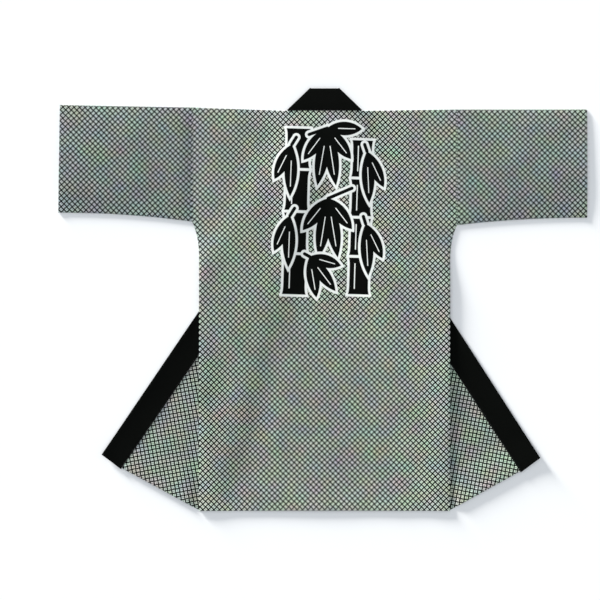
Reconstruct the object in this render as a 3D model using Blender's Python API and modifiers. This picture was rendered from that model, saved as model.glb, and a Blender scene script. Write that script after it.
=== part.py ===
"""Happi coat laid flat with its back upwards, sleeves spread and both fronts folded outwards.

The coat lies on the plane z = 0. X runs to the right along the sleeves and Y runs from the hem
to the neck. Every panel is a wall of cloth lofted through rows that run across the coat, and
each wall lies on the ones beneath it.

From the floor upwards: the folded-out flap of each front with its stretch of the collar, the
rest of each front with the collar that runs up to the neck, the back, and the sleeves beside them.
"""

import math
from dataclasses import dataclass

import bmesh
import bpy
from mathutils import Vector

# Walls, in metres
CLOTH = 0.0010
COLLAR_CLOTH = 0.0020
SEAM_GAP = 0.0003

# The body's plan. Half widths are measured from the centre line of the back.
CENTRE_X = 0.00405
HEM_Y = -0.4646
NECK_Y = 0.4139
HEM_HALF = 0.2758
SHOULDER_HALF = 0.2910
NECK_HALF = 0.0812
UNDERARM_FLARE_LENGTH = 0.090
UNDERARM_FLARE_POWER = 2.6
FOLD_INSET = 0.0030

# The collar band
COLLAR_WIDTH = 0.0568
COLLAR_END_WIDTH = 0.0531
COLLAR_RISE = 0.0493
COLLAR_TOP_HALF = 0.0305
COLLAR_TAPER_SHARE = 0.25
COLLAR_OVERHANG = 0.0031
COLLAR_END_RISE = 0.0030

# How softly the upper layers come down beside what lies beneath them
LEVEL_REACH = 0.0300
SLOPE_REACH = 0.0600
CREASE_LEDGE = 0.0035
SETTLE_REACH = 0.0700

# The soft side seams and the hem, which stand a little off what they lie on
SIDE_LIFT = 0.0020
SIDE_LIFT_REACH = 0.0250
SIDE_PUFF = 0.0024
SIDE_PUFF_PEAK = 0.0090
SIDE_FADE = 0.0600
HEM_LIFT = 0.0016
HEM_LIFT_REACH = 0.0700

# The sleeves
SLEEVE_LOFT = 0.0025
SLEEVE_LOFT_AT_CUFF = 0.7
SLEEVE_LOFT_POWER = 0.7
SLEEVE_SAG_POWER = 2.1

# How finely the walls are divided
FRONT_SHARES = (0.0, 0.02, 0.05, 0.10, 0.18, 0.31, 0.47, 0.64, 0.82, 1.0)
FRONT_COLUMNS = len(FRONT_SHARES) - 1
FLAP_COLUMNS = 4
BAND_COLUMNS = 3
CENTRE_COLUMNS = 6
CENTRE_SPREAD = 1.2
BEND_STEPS = 4
NECK_BAND_COLUMNS = 6
ROWS_ABOVE_CREASE = 3
ROWS_BESIDE_CREASE = 8
ROWS_BELOW_CREASE = 18
ROW_SPREAD = 1.15
SLEEVE_ROWS = 9
SLEEVE_COLUMNS = 8
TOUCHING = 0.00002


@dataclass
class Side:
    """What differs between the coat's two halves as they were laid down."""

    name: str
    sign: int
    shoulder_rise: float
    underarm_y: float
    cuff_top: tuple
    cuff_bottom: tuple
    front_width: float
    front_drop: float
    fold_lean_deg: float


#           name    sign  rise    underarm  cuff top          cuff bottom       width   drop    lean
SIDES = (
    Side("right", 1, 0.0032, 0.1635, (0.5773, 0.4171), (0.5773, 0.1800), 0.1815, 0.0153, 16.93),
    Side("left", -1, 0.0076, 0.1712, (0.5821, 0.4270), (0.5854, 0.1910), 0.1988, 0.0195, 17.09),
)


def slope_down(share):
    """Falls softly from 1 at share 0 to 0 at share 1."""
    share = min(1.0, max(0.0, share))
    return 1 - share * share * (3 - 2 * share)


class Fold:
    """A straight crease in plan: what lies on its far side is turned over onto its near side."""

    def __init__(self, foot, lean_deg):
        lean = math.radians(lean_deg)
        self.foot = foot
        self.inward = Vector((math.cos(lean), math.sin(lean)))

    def distance(self, point):
        """How far a point lies on the near side."""
        return (point - self.foot).dot(self.inward)

    def mirror(self, point):
        """Where a point of the far side comes to lie."""
        return point - 2 * self.distance(point) * self.inward

    def crossing(self, near, far):
        """Where the line from a near point to a far point meets the crease."""
        start, end = self.distance(near), self.distance(far)
        return near.lerp(far, start / (start - end))


class FrontPlan:
    """The flat cut of one front and its collar, in plan, as rows from the shoulder to the hem.

    A row runs from the side edge to the collar seam and on to the collar's free edge. Its share is
    0 at the shoulder and 1 at the hem. Points are (distance from the centre line, y).
    """

    def __init__(self, side):
        self.side = side
        self.fold = Fold(Vector((HEM_HALF - FOLD_INSET, HEM_Y)), side.fold_lean_deg)
        self.seam_top = Vector((NECK_HALF, NECK_Y))
        self.seam_foot = Vector((HEM_HALF - side.front_width, HEM_Y - side.front_drop))
        self.crease_foot = self.share_on_fold(self.seam)
        self.band_foot = self.share_on_fold(self.band_seam)
        self.crease_top = self.share_on_fold(self.free_edge)
        self.rows = self.row_shares(self.crease_foot)
        self.band_rows = self.row_shares(self.band_foot)
        self.first_bend_row = ROWS_ABOVE_CREASE
        self.crease_row = ROWS_ABOVE_CREASE + ROWS_BESIDE_CREASE

    def row_shares(self, foot):
        """The rows' shares, with one at each end of the collar's crease."""
        above = [self.crease_top * i / ROWS_ABOVE_CREASE for i in range(ROWS_ABOVE_CREASE)]
        beside = [
            self.crease_top + (foot - self.crease_top) * i / ROWS_BESIDE_CREASE
            for i in range(ROWS_BESIDE_CREASE)
        ]
        below = [
            foot + (1 - foot) * (i / ROWS_BELOW_CREASE) ** ROW_SPREAD
            for i in range(ROWS_BELOW_CREASE + 1)
        ]
        return above + beside + below

    def share_on_fold(self, edge):
        """The row whose end on this edge lies on the crease, by halving."""
        low, high = 0.0, 1.0
        for _ in range(50):
            middle = (low + high) / 2
            if self.fold.distance(edge(middle)) > 0:
                low = middle
            else:
                high = middle
        return (low + high) / 2

    def seam(self, share):
        """The front's edge, where the collar is sewn on."""
        return self.seam_top.lerp(self.seam_foot, share)

    def sewn_line(self, share):
        """The same seam as the collar follows it: the collar hangs a little below the hem."""
        past = max(0.0, (share - self.crease_foot) / (1 - self.crease_foot))
        return self.seam(share) + (self.seam_foot - self.seam_top).normalized() * COLLAR_OVERHANG * past

    def band_seam(self, share):
        """The collar's own edge beside that seam."""
        return self.sewn_line(share) - Vector((SEAM_GAP, 0))

    def free_edge(self, share):
        """The collar's free edge. The band widens below the neck, then narrows to the hem."""
        top_width = NECK_HALF - COLLAR_TOP_HALF
        if share < COLLAR_TAPER_SHARE:
            width = top_width + (COLLAR_WIDTH - top_width) * share / COLLAR_TAPER_SHARE
        else:
            narrowed = (share - COLLAR_TAPER_SHARE) / (1 - COLLAR_TAPER_SHARE)
            width = COLLAR_WIDTH + (COLLAR_END_WIDTH - COLLAR_WIDTH) * narrowed
        return self.sewn_line(share) + Vector((-width, COLLAR_END_RISE * share))

    def side_edge(self, share):
        """The armhole down to the underarm, then the side seam, which curves in from it."""
        shoulder = Vector((SHOULDER_HALF, NECK_Y + self.side.shoulder_rise))
        underarm = Vector((SHOULDER_HALF, self.side.underarm_y))
        if share <= self.crease_foot:
            return shoulder.lerp(underarm, share / self.crease_foot)
        down = (share - self.crease_foot) / (1 - self.crease_foot)
        y = underarm.y + (HEM_Y - underarm.y) * down
        left_over = max(0.0, 1 - (underarm.y - y) / UNDERARM_FLARE_LENGTH)
        flare = (SHOULDER_HALF - HEM_HALF) * left_over**UNDERARM_FLARE_POWER
        return Vector((HEM_HALF + flare, y))

    def inner_end(self, share):
        """Where the part of a row that isn't turned over ends, on the seam or on the crease."""
        if share <= self.crease_foot:
            return self.seam(share)
        return self.fold.crossing(self.side_edge(share), self.seam(share))

    def band_end(self, share, start):
        """Where the part of a collar row that isn't turned over ends."""
        if share <= self.crease_top:
            return self.free_edge(share)
        return self.fold.crossing(start, self.free_edge(share))

    def flap_height(self, point):
        """How high a panel lies at a point to clear the flap and the collar on it."""
        flap, band = CLOTH + SEAM_GAP, COLLAR_CLOTH + SEAM_GAP
        cut = self.fold.mirror(point)
        share = (self.seam_top.y - cut.y) / (self.seam_top.y - self.seam_foot.y)
        reach = self.seam(share).x - cut.x
        if reach < 0:
            return flap + (band - flap) * slope_down((-reach - LEVEL_REACH) / SLOPE_REACH)
        return band * slope_down((reach - COLLAR_WIDTH - LEVEL_REACH) / SLOPE_REACH)

    def standing_row(self, share):
        """The points of a row's part that isn't turned over: the front's, then the collar's."""
        edge, end = self.side_edge(share), self.inner_end(share)
        last = self.band_end(share, end) if share < self.crease_foot else end
        band = [end.lerp(last, i / BAND_COLUMNS) for i in range(1, BAND_COLUMNS + 1)]
        return [edge.lerp(end, part) for part in FRONT_SHARES] + band

    def side_fade(self, share):
        """How fully the side seam stands off: not at the armhole, nor where the crease meets it."""
        edge = self.side_edge(share)
        below_underarm = 1 - slope_down((self.side.underarm_y - edge.y) / SIDE_FADE)
        return below_underarm * min(1.0, (edge - self.inner_end(share)).length / SIDE_FADE)

    def heights(self):
        """How high each point of the standing rows lies, under the panel."""
        found = []
        for share in self.rows:
            row = self.standing_row(share)
            lift = SIDE_LIFT * self.side_fade(share)
            levels = []
            for point in row:
                level = self.flap_height(point)
                spring = lift * math.exp((point.x - row[0].x) / SIDE_LIFT_REACH)
                levels.append(level + spring * level / (COLLAR_CLOTH + SEAM_GAP))
            found.append(levels)
        found[0][FRONT_COLUMNS:] = found[1][FRONT_COLUMNS:]
        return found


def coat_point(side, point, z):
    """A plan point of one half as a point of the coat."""
    return Vector((CENTRE_X + side.sign * point.x, point.y, z))


def bend_points(side, centre, outward, low, high, steps):
    """A half round from the upper layer down to the lower one, both given by their middles."""
    radius, middle = (high - low) / 2, (high + low) / 2
    made = []
    for i in range(steps + 1):
        angle = math.pi * i / steps
        plan = centre + outward * radius * math.sin(angle)
        made.append(coat_point(side, plan, middle + radius * math.cos(angle)))
    return made


def add_grid(mesh, rows):
    """Adds a grid of faces through rows of points, each cell cut along the same diagonal."""
    tall, wide = len(rows) - 1, len(rows[0]) - 1
    made = bmesh.ops.create_grid(mesh, x_segments=wide, y_segments=tall, size=1)
    cells = {face for vertex in made["verts"] for face in vertex.link_faces}
    cells = sorted(cells, key=lambda face: face.index)
    bmesh.ops.triangulate(mesh, faces=cells, quad_method="FIXED")
    for vertex in made["verts"]:
        i = round((vertex.co.x + 1) / 2 * wide)
        j = round((vertex.co.y + 1) / 2 * tall)
        vertex.co = rows[j][i]


def cloth_object(name, grids, thickness, material, collection):
    """One panel: its grids joined into a sheet, which Solidify makes a wall."""
    mesh = bmesh.new()
    for rows in grids:
        add_grid(mesh, rows)
    bmesh.ops.remove_doubles(mesh, verts=mesh.verts, dist=TOUCHING)
    bmesh.ops.recalc_face_normals(mesh, faces=mesh.faces)
    data = bpy.data.meshes.new(name)
    mesh.to_mesh(data)
    mesh.free()
    data.materials.append(material)
    panel = bpy.data.objects.new(name, data)
    collection.objects.link(panel)
    wall = panel.modifiers.new("wall", "SOLIDIFY")
    wall.thickness = thickness
    wall.offset = 0
    wall.use_even_offset = True
    wall.use_quality_normals = True
    return panel


def front_grids(plan, heights):
    """A front: the part under the back, the bend along its crease, and the flap turned outwards."""
    side, fold = plan.side, plan.fold
    standing, bend, flap = [], [], []
    tuck = Vector((0, -(CLOTH + SEAM_GAP) / 2 - SEAM_GAP))
    for j, share in enumerate(plan.rows):
        edge, end = plan.side_edge(share), plan.inner_end(share)
        lift = heights[j][FRONT_COLUMNS]
        below = j >= plan.crease_row
        if below:
            end = end + fold.inward * lift / 2
        row = [edge.lerp(end, part) for part in FRONT_SHARES]
        if j == 0:
            row = [point + tuck for point in row]
        standing.append(
            [coat_point(side, p, heights[j][i] + CLOTH / 2) for i, p in enumerate(row)]
        )
        if not below:
            continue
        low, high = CLOTH / 2, lift + CLOTH / 2
        bend.append(bend_points(side, end, -fold.inward, low, high, BEND_STEPS))
        seam = end if j == plan.crease_row else fold.mirror(plan.seam(share))
        flap.append(
            [coat_point(side, end.lerp(seam, i / FLAP_COLUMNS), low) for i in range(FLAP_COLUMNS + 1)]
        )
    return [standing, bend, flap]


def collar_grids(plan, heights):
    """One side's collar: the stretch beside the neck, its crease, and the stretch on the flap."""
    side, fold = plan.side, plan.fold
    standing, bend, flap = [], [], []
    low = COLLAR_CLOTH / 2
    for j, share in enumerate(plan.band_rows):
        start = plan.band_seam(share)
        lifts = [heights[j][FRONT_COLUMNS + i] for i in range(BAND_COLUMNS + 1)]
        creased = plan.first_bend_row <= j <= plan.crease_row
        if j <= plan.crease_row:
            end = plan.band_end(share, start)
            if creased:
                end = end + fold.inward * lifts[-1] / 2
            if j == plan.crease_row:
                start = end
            if j == 0:
                neck = neck_turn()
                row = [neck[0].lerp(neck[1], i / BAND_COLUMNS) for i in range(BAND_COLUMNS + 1)]
            else:
                row = [start.lerp(end, i / BAND_COLUMNS) for i in range(BAND_COLUMNS + 1)]
            standing.append(
                [coat_point(side, p, lift + low) for p, lift in zip(row, lifts)]
            )
        if creased:
            high = lifts[-1] + low
            bend.append(bend_points(side, end, -fold.inward, low, high, BEND_STEPS))
        if j >= plan.first_bend_row:
            inner = end if creased else fold.mirror(plan.band_seam(share))
            outer = fold.mirror(plan.free_edge(share))
            if j == plan.first_bend_row:
                outer = inner
            flap.append(
                [coat_point(side, inner.lerp(outer, i / BAND_COLUMNS), low) for i in range(BAND_COLUMNS + 1)]
            )
    return [standing, bend, flap]


def neck_turn():
    """The line of the collar's turn beside the neck, from its seam end to its free end."""
    base_y = NECK_Y + CLOTH / 2 + SEAM_GAP
    return (
        Vector((NECK_HALF - SEAM_GAP, base_y)),
        Vector((COLLAR_TOP_HALF, NECK_Y + COLLAR_RISE)),
    )


def neck_grids(plans, heights):
    """The collar across the back of the neck and its half-round turns down to both fronts."""
    turns, ends = [], []
    base, top = neck_turn()
    run = (top - base).normalized()
    outward = Vector((run.y, -run.x))
    for plan in plans:
        side = plan.side
        turn, end = [], []
        for i, lift in enumerate(heights[side.name][0][FRONT_COLUMNS:]):
            point = base.lerp(top, i / BAND_COLUMNS)
            low = lift + COLLAR_CLOTH / 2
            high = low + COLLAR_CLOTH + SEAM_GAP
            turn.append(bend_points(side, point, outward, low, high, BEND_STEPS))
            end.append(coat_point(side, point, high))
        turns.append(turn)
        ends.append(end)
    across = [
        [right.lerp(left, i / NECK_BAND_COLUMNS) for i in range(NECK_BAND_COLUMNS + 1)]
        for right, left in zip(*ends)
    ]
    return [*turns, across]


def side_puff(distance):
    """How far the back rounds up beside its side seam: most at the peak, then it dies away."""
    share = distance / SIDE_PUFF_PEAK
    return SIDE_PUFF * share * math.exp(1 - share)


def back_half_rows(plan, heights):
    """One half of the back's rows, from the side edge to the centre line, as (plan point, height)."""
    made = []
    for j, share in enumerate(plan.rows):
        points = plan.standing_row(share)
        above_band = j <= plan.crease_row
        row = []
        for i, point in enumerate(points):
            beneath = COLLAR_CLOTH if above_band and i >= FRONT_COLUMNS else CLOTH
            puff = side_puff(points[0].x - point.x) * plan.side_fade(share)
            row.append((point, heights[j][i] + beneath + SEAM_GAP + puff))
        edge_lift = row[-1][1]
        ledge = points[-1] - Vector((CREASE_LEDGE, 0))
        row.append((ledge, edge_lift))
        middle = Vector((0.0, ledge.y))
        for i in range(1, CENTRE_COLUMNS + 1):
            point = ledge.lerp(middle, (i / CENTRE_COLUMNS) ** CENTRE_SPREAD)
            gone = (ledge.x - point.x) / SETTLE_REACH
            hem = HEM_LIFT * slope_down((point.y - HEM_Y) / HEM_LIFT_REACH)
            level = edge_lift * slope_down(gone) + hem * (1 - slope_down(gone))
            row.append((point, edge_lift if j == 0 else level))
        made.append(row)
    return made


def back_grids(plans, heights):
    """The back, and the half round over each shoulder down to the front's level."""
    grids = []
    for plan in plans:
        side = plan.side
        rows = back_half_rows(plan, heights[side.name])
        drop = (CLOTH + SEAM_GAP) / 2
        wrap = []
        for point, lift in rows[0][: FRONT_COLUMNS + 1]:
            high = lift + CLOTH / 2
            low = high - CLOTH - SEAM_GAP
            centre = point - Vector((0, drop))
            wrap.append(bend_points(side, centre, Vector((0, 1)), low, high, BEND_STEPS))
        grids.append(wrap)
        top = [(p - Vector((0, drop)), z) for p, z in rows[0][: FRONT_COLUMNS + 1]]
        top += [(p + Vector((0, CLOTH / 2)), z) for p, z in rows[0][FRONT_COLUMNS + 1 :]]
        rows[0] = top
        grids.append([[coat_point(side, p, z + CLOTH / 2) for p, z in row] for row in rows])
    meet_in_middle(grids[1], grids[3])
    return grids


def meet_in_middle(right, left):
    """Gives both halves of the back the same points along its centre line."""
    for right_row, left_row in zip(right, left):
        shared = (right_row[-1] + left_row[-1]) / 2
        right_row[-1] = left_row[-1] = shared


def sleeve_loft(share):
    """How far the upper layer stands off along a sleeve, from the armhole to the open cuff."""
    if share < 0.5:
        return SLEEVE_LOFT * math.sin(math.pi * share)
    return SLEEVE_LOFT * (1 - (1 - SLEEVE_LOFT_AT_CUFF) * (2 * share - 1))


def sleeve_grids(side):
    """A sleeve: a flattened tube, folded along its top, open at the cuff and the armhole."""
    armhole_top = Vector((SHOULDER_HALF + SEAM_GAP, NECK_Y + side.shoulder_rise))
    armhole_bottom = Vector((SHOULDER_HALF + SEAM_GAP, side.underarm_y))
    cuff_top, cuff_bottom = Vector(side.cuff_top), Vector(side.cuff_bottom)
    low, high = CLOTH / 2, CLOTH * 1.5 + SEAM_GAP
    radius = (high - low) / 2
    rows = []
    for j in range(SLEEVE_ROWS + 1):
        share = j / SLEEVE_ROWS
        top = armhole_top.lerp(cuff_top, share)
        bottom = armhole_bottom.lerp(cuff_bottom, share)
        sag = (1 - share) ** SLEEVE_SAG_POWER
        bottom.y = cuff_bottom.y + (armhole_bottom.y - cuff_bottom.y) * sag
        across = (top - bottom).normalized()
        near, far = bottom + across * radius, top - across * radius
        upper, lower = [], []
        for i in range(SLEEVE_COLUMNS + 1):
            point = near.lerp(far, i / SLEEVE_COLUMNS)
            lift = sleeve_loft(share) * abs(math.sin(math.pi * i / SLEEVE_COLUMNS)) ** SLEEVE_LOFT_POWER
            upper.append(coat_point(side, point, high + lift))
            lower.append(coat_point(side, point, low))
        top_bend = bend_points(side, far, across, low, high, BEND_STEPS)
        bottom_bend = bend_points(side, near, -across, low, high, BEND_STEPS)
        rows.append(upper + top_bend[1:-1] + lower[::-1] + bottom_bend[-2:0:-1] + [upper[0]])
    return [rows]


def cloth_material(name, colour, roughness):
    """A plain Principled material."""
    material = bpy.data.materials.new(name)
    material.use_nodes = True
    surface = material.node_tree.nodes["Principled BSDF"]
    surface.inputs["Base Color"].default_value = (*colour, 1.0)
    surface.inputs["Roughness"].default_value = roughness
    surface.inputs["Metallic"].default_value = 0.0
    return material


def clear_scene():
    """Removes what a new file starts with."""
    for thing in list(bpy.data.objects):
        bpy.data.objects.remove(thing)


def build_coat():
    """Makes every panel of the coat."""
    clear_scene()
    coat = bpy.data.collections.new("happi_coat")
    bpy.context.scene.collection.children.link(coat)
    check = cloth_material("printed_cotton", (0.22, 0.23, 0.22), 0.85)
    black = cloth_material("black_cotton", (0.012, 0.013, 0.012), 0.80)
    plans = [FrontPlan(side) for side in SIDES]
    heights = {plan.side.name: plan.heights() for plan in plans}
    collar = neck_grids(plans, heights)
    for plan in plans:
        name = plan.side.name
        cloth_object("front_" + name, front_grids(plan, heights[name]), CLOTH, check, coat)
        cloth_object("sleeve_" + name, sleeve_grids(plan.side), CLOTH, check, coat)
        collar += collar_grids(plan, heights[name])
    cloth_object("collar", collar, COLLAR_CLOTH, black, coat)
    cloth_object("back", back_grids(plans, heights), CLOTH, check, coat)


build_coat()
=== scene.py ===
"""Happi coat laid flat with its back upwards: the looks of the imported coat.

Every panel is drawn as a thin sheet of cloth through the same plan and the same heights as its
solid, with finer cells, and takes the solid's place. The print follows each panel's flat cut, so
it turns over where the cloth does.
"""

import logging
import math
from dataclasses import dataclass
from enum import Enum
from typing import Callable, ClassVar, Sequence

import bmesh
import bpy
import numpy as np
from mathutils import Matrix, Vector, noise


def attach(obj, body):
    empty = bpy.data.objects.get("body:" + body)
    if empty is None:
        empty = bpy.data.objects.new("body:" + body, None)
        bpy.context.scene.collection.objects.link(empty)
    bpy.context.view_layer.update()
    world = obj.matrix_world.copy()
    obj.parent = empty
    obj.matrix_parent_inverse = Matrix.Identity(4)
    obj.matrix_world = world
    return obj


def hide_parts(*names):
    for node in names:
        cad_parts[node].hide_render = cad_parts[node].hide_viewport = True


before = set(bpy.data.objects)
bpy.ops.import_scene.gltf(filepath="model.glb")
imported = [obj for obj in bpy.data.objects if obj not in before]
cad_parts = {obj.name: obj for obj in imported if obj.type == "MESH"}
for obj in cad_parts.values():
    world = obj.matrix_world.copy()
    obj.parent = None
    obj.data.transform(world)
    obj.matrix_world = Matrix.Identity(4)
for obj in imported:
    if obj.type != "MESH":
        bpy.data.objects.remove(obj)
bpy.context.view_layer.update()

LOG = logging.getLogger("happi_coat")
BUMP_STRENGTH = 0.8
Socket = bpy.types.NodeSocket
Material = bpy.types.Material
Tree = bpy.types.NodeTree


# Small helpers


def slope_down(share: float) -> float:
    """Falls softly from 1 at share 0 to 0 at share 1.

    Args:
        share: Where on the slope.

    Returns:
        The height there, from 0 to 1.
    """
    share = min(1.0, max(0.0, share))
    return 1 - share * share * (3 - 2 * share)


def blend(low: float, high: float, share: float) -> float:
    """The value at a share of the way from low to high."""
    return low + (high - low) * share


@dataclass
class Spot:
    """A point of a laid-out panel, with where it lies on the panel's flat cut."""

    place: Vector
    cut: Vector


# The coat's plan


class Half(Enum):
    """Which half of the coat, seen from above with the neck at the far end."""

    RIGHT = "right"
    LEFT = "left"


@dataclass(frozen=True)
class Walls:
    """How thick the solids' walls are, and how much thinner the cloth is drawn."""

    cloth: float = 0.0010
    collar: float = 0.0020
    gap: float = 0.0003
    trim: float = 0.0003

    def drawn(self, wall: float) -> float:
        """The drawn thickness of a sheet whose solid's wall is this thick."""
        return wall - self.trim

    def middle(self, wall: float) -> float:
        """How high the middle of a drawn sheet is when its underside lies where its solid's does."""
        return (wall - self.trim) / 2


@dataclass(frozen=True)
class Body:
    """The body's outline. Half widths are measured from the centre line of the back."""

    centre_x: float = 0.00405
    hem_y: float = -0.4646
    neck_y: float = 0.4139
    hem_half: float = 0.2758
    shoulder_half: float = 0.2910
    neck_half: float = 0.0812
    flare_length: float = 0.090
    flare_power: float = 2.6
    fold_inset: float = 0.0030


@dataclass(frozen=True)
class Band:
    """The collar band's outline."""

    width: float = 0.0568
    end_width: float = 0.0531
    rise: float = 0.0493
    top_half: float = 0.0305
    taper_share: float = 0.25
    overhang: float = 0.0031
    end_rise: float = 0.0030


@dataclass(frozen=True)
class Drape:
    """How softly the upper layers come down, and how the side seams and the hem stand off."""

    level_reach: float = 0.0300
    slope_reach: float = 0.0600
    ledge: float = 0.0035
    settle_reach: float = 0.0700
    centre_soften: float = 0.0120
    side_lift: float = 0.0020
    side_lift_reach: float = 0.0250
    side_puff: float = 0.0004
    side_puff_peak: float = 0.0090
    side_fade: float = 0.0600
    hem_lift: float = 0.0016
    hem_lift_reach: float = 0.0700
    neck_level_share: float = 0.0660
    beneath_from: float = 0.82
    beneath_fade: float = 0.03
    flap_free_from: float = 0.0020
    flap_free_reach: float = 0.0250
    flap_hem_lift: float = 0.0024
    flap_hem_reach: float = 0.0750
    band_edge_lift: float = 0.0022


@dataclass(frozen=True)
class HalfSizes:
    """What differs between the two halves as they were laid down."""

    half: Half
    sign: int
    shoulder_rise: float
    underarm_y: float
    cuff_top: tuple[float, float]
    cuff_bottom: tuple[float, float]
    front_width: float
    front_drop: float
    fold_lean_deg: float


#              half         sign  rise    underarm  cuff top          cuff bottom       width   drop    lean
HALVES = (
    HalfSizes(Half.RIGHT, 1, 0.0032, 0.1635, (0.5773, 0.4171), (0.5773, 0.1800), 0.1815, 0.0153, 16.93),
    HalfSizes(Half.LEFT, -1, 0.0076, 0.1712, (0.5821, 0.4270), (0.5854, 0.1910), 0.1988, 0.0195, 17.09),
)


@dataclass(frozen=True)
class Hem:
    """A turned and stitched hem: a step in the cloth, and a fine groove along the stitches."""

    depth: float = 0.0128
    step: float = 0.00030
    step_reach: float = 0.0014
    stitch_line: float = 0.0115
    groove: float = 0.00010
    groove_width: float = 0.0004
    row_distances: tuple[float, ...] = (
        0.0200, 0.0155, 0.0142, 0.0135, 0.0128, 0.0121, 0.0115, 0.0109, 0.0098,
        0.0060, 0.0025, 0.0008, 0.0,
    )

    def rise(self, distance: float) -> float:
        """How far the cloth stands up at a distance from the hem's edge."""
        step = self.step * slope_down((distance - self.depth) / self.step_reach)
        return step - self.groove * math.exp(-(((distance - self.stitch_line) / self.groove_width) ** 2))


class Fold:
    """A straight crease in plan: what lies on its far side is turned over onto its near side."""

    def __init__(self, foot: Vector, lean_deg: float) -> None:
        """Lays the crease.

        Args:
            foot: A point of the crease.
            lean_deg: How far the crease leans inwards.
        """
        lean = math.radians(lean_deg)
        self.foot = foot
        self.inward = Vector((math.cos(lean), math.sin(lean)))

    def distance(self, point: Vector) -> float:
        """How far a point lies on the near side."""
        return (point - self.foot).dot(self.inward)

    def mirror(self, point: Vector) -> Vector:
        """Where a point of the far side comes to lie."""
        return point - 2 * self.distance(point) * self.inward

    def crossing(self, near: Vector, far: Vector) -> Vector:
        """Where the line from a near point to a far point meets the crease."""
        start, end = self.distance(near), self.distance(far)
        return near.lerp(far, start / (start - end))


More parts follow.
